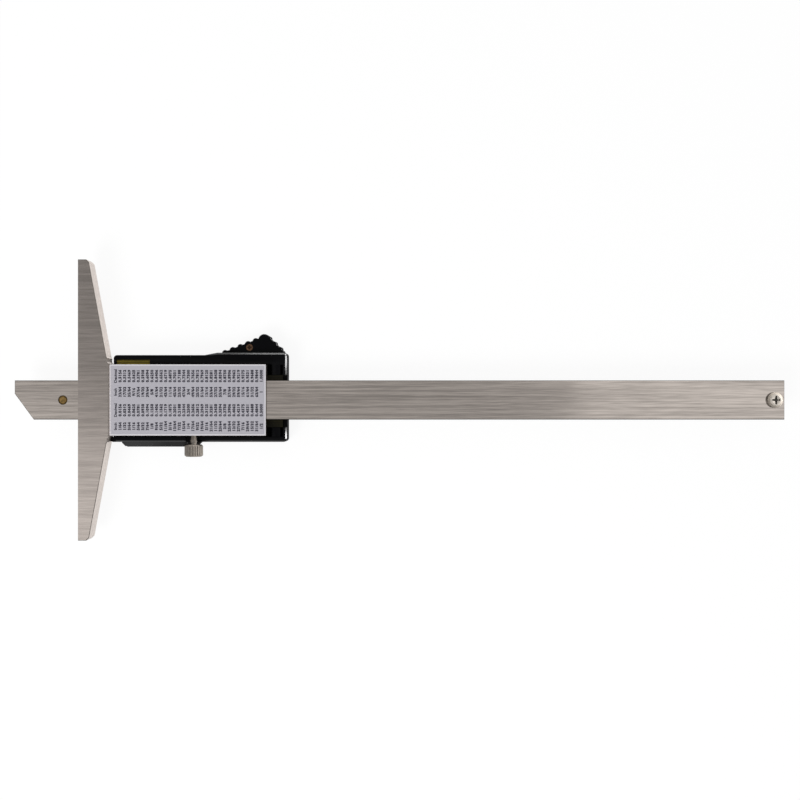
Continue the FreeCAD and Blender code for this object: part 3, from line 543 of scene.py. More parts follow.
@dataclass(frozen=True)
class SolderMask(Finish):
    """Glass-fibre board under a green lacquer. Copper tracks show through it as paler lines."""

    track_pitch: float = 0.9
    track_share: float = 0.35
    # Places in X where the painted shade of the tail end begins and is full, and the share of colour left
    # there
    flux: tuple[float, float] = (58.0, 62.0)
    flux_share: float = 0.06
    # Length and width of a run of track before it turns, and how high it stands, in millimetres
    run: tuple[float, float] = (6.0, 1.6)
    depth: float = 0.03
    gloss: float = 0.15

    def paint(self, tree: Tree, shader: Node, place: Socket) -> None:
        """Tracks along X, broken up where they turn, and painted shade towards the tail end."""
        lines = add_node(tree, "TexWave",
                         {"Vector": place, "Scale": WAVE_LENGTH / (self.track_pitch * MM)},
                         wave_type="BANDS", bands_direction="Y")
        gaps = self.speckle(tree, place, Vector((self.run[0], self.run[1], self.run[1])), 0.0)
        shown = add_node(tree, "Math", {0: lines.outputs["Fac"], 1: gaps}, operation="MULTIPLY")
        stops = [(0.0, shade(self.colour, 0.75)), (self.track_share, shade(self.colour, 0.85)),
                 (self.track_share + 0.04, shade(self.colour, 1.35)), (1.0, shade(self.colour, 1.5))]
        ramp = add_node(tree, "ValToRGB", {"Fac": shown}, stops)
        # Painted shade: the board darkens towards the tail end
        along = add_node(tree, "SeparateXYZ", {0: place}).outputs["X"]
        left = add_node(tree, "MapRange",
                        {"Value": along, "From Min": self.flux[0] * MM, "From Max": self.flux[1] * MM,
                         "To Min": 1.0, "To Max": self.flux_share})
        tail_shaded = add_node(tree, "VectorMath", {0: ramp, "Scale": left}, operation="SCALE")
        tree.links.new(tail_shaded.outputs[0], shader.inputs["Base Color"])
        self.relief(tree, shader, shown.outputs[0], self.depth)
        shader.inputs["Specular IOR Level"].default_value = self.gloss


@dataclass(frozen=True)
class StripedRubber(Finish):
    """Contact rubber of carbon and silicone layers. The layers are drawn five times as wide as they are."""

    stripe: float = 0.5
    shades: tuple[float, float] = (0.3, 1.6)
    spread: tuple[float, float] = (0.45, 0.55)

    def paint(self, tree: Tree, shader: Node, place: Socket) -> None:
        """The layers, side by side along X."""
        bands = add_node(tree, "TexWave",
                         {"Vector": place, "Scale": WAVE_LENGTH / (self.stripe * MM)},
                         wave_type="BANDS", bands_direction="X")
        self.tint(tree, shader, bands.outputs["Fac"], *self.shades, *self.spread)


@dataclass(frozen=True)
class ClearPlastic(Finish):
    """Clear acrylic with a hard gloss and a few hairline scratches."""

    unevenness: float = 0.02
    index: float = 1.49
    hair: tuple[float, float, float] = (3.0, 0.2, 3.0)

    def paint(self, tree: Tree, shader: Node, place: Socket) -> None:
        """Light passes through, and scratches dull it in places."""
        hairs = self.speckle(tree, place, Vector(self.hair), 2.0)
        self.polish(tree, shader, hairs)
        shader.inputs["Transmission Weight"].default_value = 1.0
        shader.inputs["IOR"].default_value = self.index


# Stainless steel, ground with a belt along its length: satin, with streaks, a broad sheen, and painted shade
# on its chamfers and along both long edge bands
STEEL = GroundSteel("belt_ground_stainless", "#D6CCC4", 0.13, lips=(-6.72, 6.85))
# The same steel with a finer ground face on the base, and painted shade on its chamfers and at its end beyond
# X 66.3 mm
BASE_STEEL = GroundSteel("surface_ground_stainless", "#C9BFB8", 0.13, scratch=(6.0, 0.26), band=(24.0, 0.9),
                         contrast=0.14, soiled_beyond=66.3)
# Steel screw with a nickel plate, turned and tumbled: pale, a little warm, with soft lights, and painted
# shade in its drive recess, on its edges and on its side
NICKEL_SCREW = TurnedMetal("nickel_plated_pan_head", "#DAD2C8", 0.4, ring=0.35, recess=0.95,
                           recess_share=0.15, edge_share=0.8, side_share=0.25)
# Brass knob with a nickel plate over its knurl: grey-warm, with a painted highlight on the flanks of the
# knurl
NICKEL_KNURL = TurnedMetal("nickel_plated_knurl", "#8C867F", 0.46, axis=Axis.Y, ring=0.3, edge_share=1.5)
# Brass pin, turned, pressed in and ground flush: dull yellow with a brown tarnish, and a painted ring of
# shade round its edge
TARNISHED_BRASS = TurnedMetal("tarnished_turned_brass", "#93784A", 0.42, ring=0.25, contrast=0.4, rim=1.22,
                              recess_share=0.3)
# Small screw with a copper flash: reddish, half bright, with painted shade in its drive recess
COPPER_SCREW = TurnedMetal("copper_flashed_screw", "#765B48", 0.35, ring=0.2, contrast=0.3, recess=0.8,
                           recess_share=0.3)
# Zinc plated machine screws, hidden under the label
ZINC_SCREW = TurnedMetal("zinc_plated_screw", "#B9BCBE", 0.34)
# Rolled brass strip, drawn along its length
ROLLED_BRASS = GroundSteel("rolled_brass_strip", "#C8A860", 0.32, scratch=(8.0, 0.2))
# Moulded ABS, black, from a finely eroded mould: nearly matt, with grey lights on its edges
BLACK_ABS = MouldedPlastic("black_moulded_abs", "#050507", 0.26, gloss=0.08, edge_gloss=0.5, side_gloss=0.06,
                           handled_below=-15.3)
# The same ABS, worn smoother by the thumb
WORN_ABS = MouldedPlastic("thumb_worn_abs", "#050507", 0.24, grain=0.4, gloss=0.08, edge_gloss=0.5,
                          side_gloss=0.06)
# The cover's ABS, of another batch: a shade greyer
COVER_ABS = MouldedPlastic("greyer_moulded_abs", "#28282C", 0.3, gloss=0.2, edge_gloss=0.5)
# Silicone coated keys, light grey with a soft touch
KEY_PLASTIC = MouldedPlastic("soft_touch_key", "#B7BABD", 0.55, contrast=0.05, gloss=0.4)
# Polyester label stock with a satin silver face
LABEL_STOCK = CoatedFilm("satin_polyester_label", "#CDCBCF", 0.38)
# Grey-violet ground printed on the label
LABEL_GROUND = CoatedFilm("printed_grey_ground", "#A8A6AD", 0.42, contrast=0.06)
# Dark screen ink of the label's chart
CHART_INK = CoatedFilm("violet_grey_screen_ink", "#191626", 0.5, contrast=0.12)
# White pad-printed ink beside the keys
LEGEND_INK = CoatedFilm("white_pad_print", "#D8DADB", 0.5)
# Black ink on the beam's film and on the window's border
BLACK_INK = CoatedFilm("black_screen_ink", "#1A1A1C", 0.4, contrast=0.1)
# Satin silver film over the scale
SCALE_FILM = CoatedFilm("satin_scale_film", "#B4B6B9", 0.36)
# Bare glass-fibre board of the scale
SCALE_BOARD = CoatedFilm("bare_glass_fibre_board", "#B3A46C", 0.5, mottle=0.8, contrast=0.12)
# Olive solder mask over copper, with painted shade at its tail end
BOARD = SolderMask("olive_solder_mask", "#5E5518", 0.42)
# Epoxy chip body, moulded and matt
CHIP = MouldedPlastic("epoxy_chip_body", "#151517", 0.62, grain=0.15)
# Stainless spring strip, stamped and bright
SPRING = GroundSteel("stamped_spring_strip", "#CFCBC4", 0.26, scratch=(3.0, 0.2))
# Nickel plated steel of the cell's can, spun at its rim
CELL_CAN = TurnedMetal("nickel_plated_cell_can", "#D2CFC8", 0.24, centre=(0.0635, 0.0, 0.0), ring=0.5)
# Display glass under its grey-green polariser
POLARISER = CoatedFilm("grey_green_polariser", "#8B9486", 0.16, mottle=2.0)
# Unlit display segments, only a little darker than their ground
UNLIT_SEGMENT = CoatedFilm("unlit_display_segment", "#7C8578", 0.2, mottle=2.0)
# Clear acrylic window
WINDOW = ClearPlastic("clear_acrylic_window", "#F4F7F5", 0.05)
# Layered contact rubber
RUBBER = StripedRubber("layered_contact_rubber", "#6A6A6C", 0.7)


def dress(node: str, finish: Finish) -> None:
    """Give a construction node its finish.

    Args:
        node: The node's name.
        finish: The finish of its whole surface.
    """
    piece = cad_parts[node]
    for slot in piece.material_slots:
        slot.material = finish.material()
    if not piece.material_slots:
        piece.data.materials.append(finish.material())
    LOG.info("%s dressed in %s", node, finish.name)


def set_piece(mesh: Mesh, name: str, body: Body, finish: Finish, slot: Slot,
              *nodes: str) -> bpy.types.Object:
    """Add a new piece to the instrument.

    Args:
        mesh: Its mesh, already in place.
        name: Its own name.
        body: The body that it rides on.
        finish: The finish of its surface.
        slot: The material slot that the finish belongs to; not used.
        nodes: The construction nodes that it stands for.

    Returns:
        The piece's object.
    """
    piece = bpy.data.objects.new(name, mesh)
    bpy.context.scene.collection.objects.link(piece)
    mesh.materials.clear()
    mesh.materials.append(finish.material())
    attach(piece, body.value)
    if nodes:
        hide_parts(*nodes)
    LOG.info("%s on %s: %d faces", name, body.value, len(mesh.polygons))
    return piece


def mesh_of(bm: EditMesh, name: str) -> Mesh:
    """Turn an edit mesh into a mesh and free it.

    Args:
        bm: The edit mesh.
        name: The mesh's name.

    Returns:
        The finished mesh.
    """
    bmesh.ops.recalc_face_normals(bm, faces=bm.faces)
    mesh = bpy.data.meshes.new(name)
    bm.to_mesh(mesh)
    bm.free()
    return mesh


def add_block(bm: EditMesh, low: Vector, high: Vector) -> list[bmesh.types.BMVert]:
    """Add an upright block to an edit mesh.

    Args:
        bm: The edit mesh.
        low: The block's lowest corner.
        high: The block's highest corner.

    Returns:
        The block's corners.
    """
    size = Matrix.Diagonal((*(high - low), 1.0))
    made = bmesh.ops.create_cube(bm, size=1.0, matrix=Matrix.Translation((low + high) / 2) @ size)
    return made["verts"]


def eased_copy(node: str, width: float, segments: int = 2, sharp: float = 32.0,
               chosen: Callable[[bmesh.types.BMEdge], bool] | None = None) -> Mesh:
    """A copy of a construction node whose sharp edges are rounded a little, as moulding leaves them.

    Args:
        node: The node that is copied.
        width: How far each edge is cut back, in millimetres.
        segments: Faces across each rounding.
        sharp: The angle above which an edge counts as sharp, in degrees.
        chosen: Which of the sharp edges are rounded, where not all are. These are cut back in full,
            and otherwise each edge only as far as its neighbours leave room.

    Returns:
        The eased mesh.
    """
    bm = bmesh.new()
    bm.from_mesh(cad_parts[node].data)
    bmesh.ops.remove_doubles(bm, verts=bm.verts, dist=MERGE_DISTANCE * MM)
    bmesh.ops.dissolve_limit(bm, angle_limit=math.radians(PLANE_ANGLE), verts=bm.verts, edges=bm.edges)
    edges = [edge for edge in bm.edges if len(edge.link_faces) == 2
             and edge.calc_face_angle() > math.radians(sharp) and (chosen is None or chosen(edge))]
    bmesh.ops.bevel(bm, geom=edges, offset=width * MM, offset_type="OFFSET", segments=segments, profile=0.5,
                    affect="EDGES", clamp_overlap=chosen is None, material=-1)
    mesh = bpy.data.meshes.new(f"{node}_eased")
    bm.to_mesh(mesh)
    bm.free()
    mesh.shade_smooth()
    mesh.set_sharp_from_angle(angle=math.radians(sharp))
    return mesh


def facing(side: Side, turn: float = 0.0) -> Matrix:
    """The turn that makes flat lettering read on one side of the instrument.

    Args:
        side: The side that it faces.
        turn: How far it is turned anticlockwise as read, in degrees.

    Returns:
        The rotation.
    """
    flip = Matrix.Rotation(0.0 if side is Side.BACK else math.pi, 4, "X")
    return flip @ Matrix.Rotation(math.radians(turn), 4, "Z")


@dataclass
class Lettering:
    """Words or figures in plain sans letters, as a thin closed print. Sizes are in millimetres."""

    text: str
    height: float
    pitch: float = 0.0
    width: float = 0.0
    stroke: float = 0.0
    spread: float = 1.0
    thickness: float = 0.012
    smoothness: int = 3
    cap_share: float = 0.72

    def mesh(self, place: Vector, side: Side, turn: float = 0.0) -> Mesh:
        """Make the print at its place.

        Args:
            place: Where the middle of the first line's foot is.
            side: The side that the print faces.
            turn: How far it is turned anticlockwise as read, in degrees.

        Returns:
            The print's mesh.
        """
        size = self.height / self.cap_share
        curve = bpy.data.curves.new("print", "FONT")
        curve.body = self.text
        curve.size = size * MM
        curve.align_x = "CENTER"
        curve.space_line = self.pitch / size if self.pitch else 1.0
        curve.resolution_u = self.smoothness
        curve.extrude = self.thickness * MM / 2
        curve.offset = self.stroke * MM
        curve.space_character = self.spread
        holder = bpy.data.objects.new("print", curve)
        bpy.context.scene.collection.objects.link(holder)
        seen = holder.evaluated_get(bpy.context.evaluated_depsgraph_get())
        mesh = bpy.data.meshes.new_from_object(seen)
        bpy.data.objects.remove(holder)
        bpy.data.curves.remove(curve)
        if self.width:
            reach = [vertex.co.x for vertex in mesh.vertices]
            mesh.transform(Matrix.Diagonal((self.width * MM / (max(reach) - min(reach)), 1.0, 1.0, 1.0)))
        mesh.transform(Matrix.Translation(place) @ facing(side, turn))
        return mesh


def join_meshes(meshes: list[Mesh], name: str) -> Mesh:
    """Put several meshes together as one.

    Args:
        meshes: The meshes, which are used up.
        name: The new mesh's name.

    Returns:
        The joined mesh.
    """
    bm = bmesh.new()
    for mesh in meshes:
        bm.from_mesh(mesh)
        bpy.data.meshes.remove(mesh)
    joined = bpy.data.meshes.new(name)
    bm.to_mesh(joined)
    bm.free()
    return joined


@dataclass
class Slider:
    """The measuring base with its slider frame, the gib and the screws in it."""

    finishes: dict[str, Finish] = field(default_factory=lambda: {
        "base_and_slider": BASE_STEEL, "gib_strip": ROLLED_BRASS, "gib_screws": ZINC_SCREW,
        "housing_screws": ZINC_SCREW})

    def dress(self) -> None:
        """Give each node its metal."""
        for node, finish in self.finishes.items():
            dress(node, finish)


@dataclass
class Chart:
    """The back label with its table of fractions and decimals. Sizes are in millimetres."""

    rows: int = 32
    row_pitch: float = 1.622
    first_row: float = 4.25
    heading_row: float = 2.62
    letter_height: float = 0.98
    ground_margin: float = 0.42
    print_lift: float = 0.012
    fraction_width: float = 3.72
    decimal_width: float = 4.45
    heading_widths: tuple[float, float] = (2.6, 4.8)
    stroke: float = 0.09
    heading_stroke: float = 0.05
    spread: float = 1.18
    columns: tuple[float, float, float, float] = (-9.37, -3.64, 2.85, 8.53)

    def column_text(self, start: int, decimal: bool) -> str:
        """One column of the table.

        Args:
            start: The first row's sixty-fourths.
            decimal: Whether the column is of decimals.

        Returns:
            The column's lines.
        """
        shares = [Fraction(start + row, 64) for row in range(self.rows)]
        return "\n".join(f"{float(share):.4f}" if decimal else str(share) for share in shares)

    def build(self) -> None:
        """The label's printed ground and the table on it."""
        dress("conversion_label", LABEL_STOCK)
        low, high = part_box("conversion_label")
        margin = Vector((self.ground_margin, self.ground_margin, 0.0)) * MM
        lift = Vector((0.0, 0.0, self.print_lift * MM))
        bm = bmesh.new()
        add_block(bm, Vector((low.x, low.y, high.z)) + margin, high - margin + lift)
        set_piece(mesh_of(bm, "label_ground"), "label_ground", Body.HEAD, LABEL_GROUND, Slot.LABEL)
        prints = []
        for number, across in enumerate(self.columns):
            decimal = number % 2 == 1
            text = self.column_text(1 + self.rows * (number // 2), decimal)
            width = self.decimal_width if decimal else self.fraction_width
            column = Lettering(text, self.letter_height, self.row_pitch, width, self.stroke, self.spread)
            heading = Lettering("Decimal" if decimal else "Inch", self.letter_height, 0.0,
                                self.heading_widths[decimal], self.heading_stroke)
            for words, row in ((column, self.first_row), (heading, self.heading_row)):
                place = Vector((low.x + row * MM, across * MM, high.z + 1.5 * lift.z))
                prints.append(words.mesh(place, Side.BACK, 90.0))
        set_piece(join_meshes(prints, "label_table"), "label_table", Body.HEAD, CHART_INK, Slot.LABEL)


@dataclass
class Beam:
    """The beam with its pin, its stop screw and the scale on its front. Sizes are in millimetres."""

    mark_depth: float = 0.02
    mark_width: float = 0.16
    marks: int = 199
    mark_lengths: tuple[float, float, float] = (1.3, 1.9, 2.6)
    figure_height: float = 1.5
    figure_line: float = 1.2
    inch: float = 25.4
    inch_parts: int = 16
    inches: int = 7
    inch_line: float = -1.6
    screw_edge: float = 0.07

    def build(self) -> None:
        """Dress the nodes, ease the stop screw and print the scale."""
        dress("beam_blade", STEEL)
        dress("tip_pin", TARNISHED_BRASS.about("tip_pin"))
        dress("scale_strip", SCALE_BOARD)
        dress("scale_film", SCALE_FILM)
        head = eased_copy("stop_screw", self.screw_edge)
        finish = NICKEL_SCREW.about("stop_screw")
        set_piece(head, "stop_screw_head", Body.BEAM, finish, Slot.SCREW, "stop_screw")
        self.print_scale()

    def print_scale(self) -> None:
        """Millimetres along one edge of the front and inches along the other, read at the housing's end."""
        low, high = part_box("scale_film")
        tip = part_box("beam_blade")[0].x
        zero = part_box("front_housing")[1].x + tip
        back, front = low.z, low.z - self.mark_depth * MM
        bm = bmesh.new()
        half = self.mark_width * MM / 2
        for mark in range(self.marks + 1):
            length = self.mark_lengths[2 if mark % 10 == 0 else 1 if mark % 5 == 0 else 0] * MM
            across = zero + mark * MM
            add_block(bm, Vector((across - half, high.y - length, front)),
                      Vector((across + half, high.y, back)))
        for mark in range(self.inches * self.inch_parts + 1):
            length = self.mark_lengths[2 if mark % self.inch_parts == 0 else 0] * MM
            across = zero + mark * self.inch / self.inch_parts * MM
            add_block(bm, Vector((across - half, low.y, front)),
                      Vector((across + half, low.y + length, back)))
        marks = mesh_of(bm, "scale_marks")
        set_piece(marks, "scale_marks", Body.BEAM, BLACK_INK, Slot.SCALE)
        level = (back + front) / 2
        inch_foot = self.inch_line * MM + self.figure_height * MM / 2
        rows = [(mark, mark * MM, self.figure_line * MM) for mark in range(0, self.marks, 10)]
        rows += [(mark, mark * self.inch * MM, inch_foot) for mark in range(self.inches + 1)]
        figures = []
        for mark, along, foot in rows:
            word = Lettering(str(mark), self.figure_height)
            figures.append(word.mesh(Vector((zero + along, foot, level)), Side.FRONT))
        set_piece(join_meshes(figures, "scale_figures"), "scale_figures", Body.BEAM, BLACK_INK, Slot.SCALE)


@dataclass
class Housing:
    """The moulded housing, its thumb grip, covers and front prints. Sizes are in millimetres."""

    edge: float = 0.14
    grip_edge: float = 0.3
    grip_screw_room: float = 0.5
    grip_rim_depth: float = 0.01
    # The nose's point reaches into the notch, a dark piece standing in for the shade there
    nose_tip: tuple[float, float] = (9.45, -14.15)
    nose_foot: float = 11.2
    nose_half: float = 0.92
    nose_levels: tuple[float, float] = (-3.9, -1.05)
    cover_edge: float = 0.08
    screw_edge: float = 0.05
    legend_height: float = 1.2
    legend_drop: float = 3.3
    legend_depth: float = 0.02
    legends: dict[str, str] = field(default_factory=lambda: {
        "button_on_off": "ON/OFF", "button_zero": "ZERO", "button_unit": "mm/in"})

    def on_grip_rim(self, edge: bmesh.types.BMEdge) -> bool:
        """Whether an edge of the thumb grip is on the rim of its back face, and not on the screw's hole.

        Args:
            edge: The edge.

        Returns:
            True where the thumb rubs it.
        """
        low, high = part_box("grip_screw")
        start, end = (vertex.co for vertex in edge.verts)
        room = Vector((self.grip_screw_room, self.grip_screw_room, 0.0)) * MM
        middle, reach = (start + end) / 2, (high - low) / 2 + room
        away = middle - (low + high) / 2
        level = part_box("thumb_grip")[1].z - self.grip_rim_depth * MM
        return min(start.z, end.z) > level and (abs(away.x) > reach.x or abs(away.y) > reach.y)

    def add_nose(self) -> None:
        """The pointed nose of the housing's lower wall, which reaches into the base's notch; its black point
        also stands in for the shade there, as a dark piece.
        """
        bm = bmesh.new()
        foot, line, half = self.nose_foot, self.nose_tip[1], self.nose_half
        outline = (self.nose_tip, (foot, line - half), (foot, line + half))
        floor = bm.faces.new([bm.verts.new((x * MM, y * MM, self.nose_levels[0] * MM)) for x, y in outline])
        risen = bmesh.ops.extrude_face_region(bm, geom=[floor])["geom"]
        bmesh.ops.translate(bm, verts=[part for part in risen if isinstance(part, bmesh.types.BMVert)],
                            vec=(0.0, 0.0, (self.nose_levels[1] - self.nose_levels[0]) * MM))
        set_piece(mesh_of(bm, "housing_nose_and_notch_shade"), "housing_nose_and_notch_shade", Body.HEAD, BLACK_ABS, Slot.PLASTIC)

    def build(self) -> None:
        """Ease the mouldings and print the legends."""
        grip = eased_copy("thumb_grip", self.grip_edge, segments=3, chosen=self.on_grip_rim)
        set_piece(grip, "thumb_grip_moulding", Body.HEAD, WORN_ABS, Slot.PLASTIC, "thumb_grip")
        self.add_nose()
        eased = (
            ("front_housing", "housing_moulding", Body.HEAD, BLACK_ABS, self.edge),
            ("battery_cover", "battery_cover_moulding", Body.BATTERY_COVER, BLACK_ABS, self.cover_edge),
            ("data_port_cover", "port_cover_moulding", Body.PORT_COVER, COVER_ABS, self.cover_edge),
        )
        for node, name, body, finish, width in eased:
            set_piece(eased_copy(node, width), name, body, finish, Slot.PLASTIC, node)
        set_piece(eased_copy("grip_screw", self.screw_edge), "grip_screw_head", Body.HEAD,
                  COPPER_SCREW.about("grip_screw"), Slot.GRIP_SCREW, "grip_screw")
        prints = []
        for key, word in self.legends.items():
            low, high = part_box(key)
            foot = high.y + self.legend_drop * MM
            place = Vector(((low.x + high.x) / 2, foot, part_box("front_housing")[0].z))
            legend = Lettering(word, self.legend_height, thickness=self.legend_depth)
            prints.append(legend.mesh(place, Side.FRONT))
        set_piece(join_meshes(prints, "key_legends"), "key_legends", Body.HEAD, LEGEND_INK, Slot.PLASTIC)


@dataclass
class Display:
    """The display glass, its window and what shows through it. Sizes are in millimetres."""

    digits: int = 5
    digit_height: float = 6.4
    digit_width: float = 3.1
    digit_pitch: float = 4.3
    stroke: float = 0.62
    gap: float = 0.14
    lift: float = 0.02
    border: float = 1.3
    middle_shift: float = -0.4
    point_after: int = 3
    point_back: float = 0.9
    # Shares of a bar's width that its pointed end and its clearance take
    point_share: float = 0.45
    end_share: float = 0.6

    def bar(self, bm: EditMesh, low: Vector, high: Vector) -> None:
        """One segment of a figure: a thin bar with pointed ends.

        Args:
            bm: The edit mesh that gets it.
            low: The bar's lowest corner.
            high: The bar's highest corner.
        """
        corners = add_block(bm, low, high)
        uprights = [edge for edge in {edge for corner in corners for edge in corner.link_edges}
                    if abs(edge.verts[0].co.z - edge.verts[1].co.z) > self.lift * MM / 2]
        narrow = min(high.x - low.x, high.y - low.y)
        bmesh.ops.bevel(bm, geom=uprights, offset=narrow * self.point_share, offset_type="OFFSET",
                        segments=1, profile=0.5, affect="EDGES", clamp_overlap=True, material=-1)

    def figure(self, bm: EditMesh, left: float, top: float, level: float) -> None:
        """The seven segments of one figure.

        Args:
            bm: The edit mesh that gets them.
            left: The figure's left edge, in metres.
            top: The figure's upper edge, where up is towards -Y.
            level: The face of the display glass.
        """
        wide, half = self.digit_width * MM, self.digit_height * MM / 2
        thick, gap = self.stroke * MM, self.gap * MM
        for row in range(3):
            start = top + row * (half - thick / 2) if row < 2 else top + 2 * half - thick
            end = thick * self.end_share + gap
            self.bar(bm, Vector((left + end, start, level - self.lift * MM)),
                     Vector((left + wide - end, start + thick, level)))
        for row in range(2):
            start = top + row * half + thick * 0.5 + gap
            for across in (left, left + wide - thick):
                self.bar(bm, Vector((across, start, level - self.lift * MM)),
                         Vector((across + thick, start + half - thick - 2 * gap, level)))

    def build(self) -> None:
        """Dress the glass and window, and add the segments and the window's border."""
        dress("lcd_glass", POLARISER)
        dress("lcd_window", WINDOW)
        low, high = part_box("lcd_glass")
        middle = (low + high) / 2
        run = (self.digits - 1) * self.digit_pitch + self.digit_width
        left = middle.x - run * MM / 2
        top = middle.y - self.digit_height * MM / 2 + self.middle_shift * MM
        bm = bmesh.new()
        for number in range(self.digits):
            self.figure(bm, left + number * self.digit_pitch * MM, top, low.z)
        point = left + (self.point_after * self.digit_pitch - self.point_back) * MM
        foot = top + self.digit_height * MM
        add_block(bm, Vector((point, foot - self.stroke * MM, low.z - self.lift * MM)),
                  Vector((point + self.stroke * MM, foot, low.z)))
        set_piece(mesh_of(bm, "display_segments"), "display_segments", Body.HEAD, UNLIT_SEGMENT, Slot.DISPLAY)
        low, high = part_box("lcd_window")
        inset = self.border * MM
        bm = bmesh.new()
        front, back = low.z - self.lift * MM, low.z
        for start, end in (((low.x, low.y), (high.x, low.y + inset)),
                           ((low.x, high.y - inset), (high.x, high.y)),
                           ((low.x, low.y + inset), (low.x + inset, high.y - inset)),
                           ((high.x - inset, low.y + inset), (high.x, high.y - inset))):
            add_block(bm, Vector((*start, front)), Vector((*end, back)))
        set_piece(mesh_of(bm, "window_border"), "window_border", Body.HEAD, BLACK_INK, Slot.WINDOW)


@dataclass
class Works:
    """The board, its parts, the cell and its contacts."""

    finishes: dict[str, Finish] = field(default_factory=lambda: {
        "circuit_board": BOARD, "controller_chip": CHIP, "dome_contacts": SPRING, "lcd_connector": RUBBER,
        "battery_cell": CELL_CAN, "contact_minus": SPRING, "contact_plus": SPRING})
    keys: tuple[str, ...] = ("button_on_off", "button_zero", "button_unit")

    def dress(self) -> None:
        """Give each node its finish."""
        for node, finish in self.finishes.items():
            dress(node, finish)
        for node in self.keys:
            dress(node, KEY_PLASTIC)


@dataclass
class LockScrew:
    """The knurled lock screw. Sizes are in millimetres."""

    edge: float = 0.07

    def build(self) -> None:
        """Ease the knurl's edges."""
        set_piece(eased_copy("lock_screw", self.edge), "lock_screw_knob", Body.LOCK_SCREW,
                  NICKEL_KNURL.about("lock_screw"), Slot.KNURL, "lock_screw")


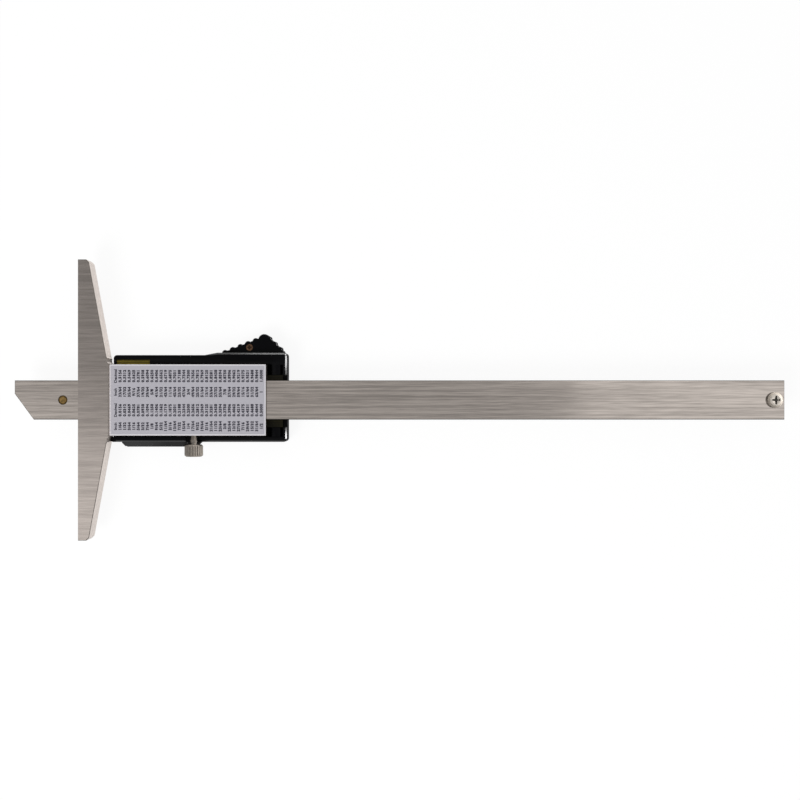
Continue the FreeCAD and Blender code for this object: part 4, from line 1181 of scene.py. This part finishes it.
@dataclass
class Studio:
    """The white table, the light round it and the camera straight above. Lengths are in metres."""

    table_size: float = 6.0
    table_level: float = -0.01005
    table_white: float = 0.9
    camera_place: tuple[float, float, float] = (0.1145, 0.0, 0.422)
    focal_length: float = 52.91
    sensor: float = 36.0
    fill: float = 0.70
    ceiling_cap: float = 0.95
    # Slopes of a reflected direction in X and in Y, and how bright the ceiling is there
    across_levels: Levels = (
        (-1.0, 0.90), (-0.45, 0.60), (-0.29, 0.50), (-0.265, 0.43), (-0.2, 0.42), (-0.10, 0.38),
        (-0.068, 0.42), (-0.017, 0.375), (0.051, 0.385), (0.12, 0.43), (0.150, 0.50), (0.157, 0.74),
        (0.2, 0.68), (0.3, 0.70), (1.0, 0.90))
    along_levels: Levels = ((-0.6, 2.4), (-0.08, 2.4), (-0.012, 0.66), (0.3, 0.62), (0.6, 1.8))
    left_zone: tuple[float, float] = (-0.18, -0.13)
    horizon_level: float = 0.6
    horizon_end: float = 0.5
    least_rise: float = 0.05
    # Name, place, width, power in watts, and whether the surfaces mirror it
    lamps: tuple[tuple[str, tuple[float, float, float], float, float, bool], ...] = (
        ("soft_lamp", (-0.28, -0.42, 0.62), 0.4, 3.6, False),
        ("right_lamp", (1.4, 0.0, 0.14), 0.36, 15.0, True),
        ("corner_lamp", (1.1, 0.9, 0.14), 0.5, 18.0, True),
        ("rear_lamp", (0.1, 1.25, 0.16), 0.5, 5.5, True))

    def shown(self, tree: Tree, *slots: str) -> Socket:
        """Whether a ray is of one of some kinds.

        Args:
            tree: The node tree.
            slots: Names of the light path's outputs.

        Returns:
            One where it is, and nought elsewhere.
        """
        path = add_node(tree, "LightPath")
        found = path.outputs[slots[0]]
        for slot in slots[1:]:
            found = add_node(tree, "Math", {0: found, 1: path.outputs[slot]},
                             operation="MAXIMUM").outputs[0]
        return found

    def lay_table(self) -> None:
        """A white table that keeps a faint shadow of the instrument."""
        bm = bmesh.new()
        bmesh.ops.create_grid(bm, x_segments=1, y_segments=1, size=self.table_size / 2,
                              matrix=Matrix.Translation((0.0, 0.0, self.table_level)))
        mesh = mesh_of(bm, "table")
        table = bpy.data.objects.new("table", mesh)
        bpy.context.scene.collection.objects.link(table)
        made = bpy.data.materials.new("white_table")
        made.use_nodes = True
        tree = made.node_tree
        tree.nodes.clear()
        paint = add_node(tree, "BsdfDiffuse", {"Color": WHITE})
        glow = add_node(tree, "Emission", {"Color": WHITE, "Strength": 1.0})
        seen = self.shown(tree, "Is Camera Ray", "Is Glossy Ray", "Is Transmission Ray")
        share = add_node(tree, "Math", {0: seen, 1: self.table_white}, operation="MULTIPLY")
        mix = add_node(tree, "MixShader", {0: share, 1: paint, 2: glow})
        add_node(tree, "OutputMaterial", {"Surface": mix})
        mesh.materials.append(made)

    def profile(self, tree: Tree, slope: Socket, levels: Levels) -> Socket:
        """The ceiling's level along one slope.

        Args:
            tree: The world's node tree.
            slope: How far a direction leans, as a share of its rise.
            levels: Slopes and their levels, in rising order.

        Returns:
            The level at that slope.
        """
        low, high = levels[0][0], levels[-1][0]
        span = add_node(tree, "MapRange", {"Value": slope, "From Min": low, "From Max": high})
        stops = grey_stops(((place - low) / (high - low), level) for place, level in levels)
        return add_node(tree, "ValToRGB", {"Fac": span}, stops).outputs["Color"]

    def light_room(self) -> None:
        """A white room whose ceiling is grey behind the camera, as the ground steel shows it."""
        world = bpy.data.worlds.new("studio")
        bpy.context.scene.world = world
        world.use_nodes = True
        world.cycles.sampling_method = "NONE"
        tree = world.node_tree
        tree.nodes.clear()
        way = add_node(tree, "TexCoord").outputs["Generated"]
        parts = add_node(tree, "SeparateXYZ", {0: way})
        rise = add_node(tree, "Math", {0: parts.outputs["Z"], 1: self.least_rise}, operation="MAXIMUM")
        across, along = (add_node(tree, "Math", {0: parts.outputs[name], 1: rise},
                                  operation="DIVIDE").outputs[0] for name in ("X", "Y"))
        left = add_node(tree, "MapRange",
                        {"Value": across, "From Min": self.left_zone[0], "From Max": self.left_zone[1],
                         "To Min": 1.0, "To Max": 0.0})
        share = add_node(tree, "Mix", {"Factor": left, "A": 1.0,
                                                 "B": self.profile(tree, along, self.along_levels)})
        level = add_node(tree, "Math", {0: self.profile(tree, across, self.across_levels),
                                                  1: share}, operation="MULTIPLY")
        capped = add_node(tree, "Math", {0: level, 1: self.ceiling_cap}, operation="MINIMUM")
        low = add_node(tree, "MapRange",
                       {"Value": parts.outputs["Z"], "From Min": 0.0, "From Max": self.horizon_end,
                        "To Min": self.horizon_level, "To Max": 1.0})
        ceiling = add_node(tree, "Math", {0: capped, 1: low}, operation="MULTIPLY")
        glossy = self.shown(tree, "Is Glossy Ray")
        mixed = add_node(tree, "Mix", {"Factor": glossy, "A": self.fill, "B": ceiling})
        seen = self.shown(tree, "Is Camera Ray", "Is Transmission Ray")
        strength = add_node(tree, "Mix", {"Factor": seen, "A": mixed, "B": 1.0})
        glow = add_node(tree, "Background", {"Color": WHITE, "Strength": strength})
        add_node(tree, "OutputWorld", {"Surface": glow})

    def hang_lamps(self) -> None:
        """A soft lamp at the left, and low ones at the right, the corner and the rear that draw the edges."""
        for name, place, size, power, mirrored in self.lamps:
            lamp = bpy.data.lights.new(name, "AREA")
            lamp.shape = "DISK"
            lamp.size = size
            lamp.energy = power
            holder = bpy.data.objects.new(name, lamp)
            bpy.context.scene.collection.objects.link(holder)
            holder.location = place
            holder.visible_glossy = mirrored
            holder.visible_diffuse = not mirrored
            aim = Vector((self.camera_place[0], 0.0, 0.0)) - Vector(place)
            holder.rotation_euler = aim.to_track_quat("-Z", "Y").to_euler()

    def set_camera(self) -> None:
        """The camera straight above the middle of the instrument."""
        camera = bpy.data.cameras.new("camera")
        camera.lens = self.focal_length
        camera.sensor_width = self.sensor
        camera.clip_start = 0.01
        holder = bpy.data.objects.new("camera", camera)
        bpy.context.scene.collection.objects.link(holder)
        holder.location = self.camera_place
        bpy.context.scene.camera = holder
        bpy.context.scene.view_settings.view_transform = "Standard"

    def build(self) -> None:
        """Table, light and camera."""
        self.lay_table()
        self.light_room()
        self.hang_lamps()
        self.set_camera()


def main() -> None:
    """Build and dress the instrument in order."""
    logging.basicConfig(level=logging.INFO, format="%(message)s")
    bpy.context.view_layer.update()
    Studio().build()
    Slider().dress()
    Chart().build()
    Beam().build()
    Housing().build()
    Display().build()
    Works().dress()
    LockScrew().build()


if __name__ == "__main__":
    main()
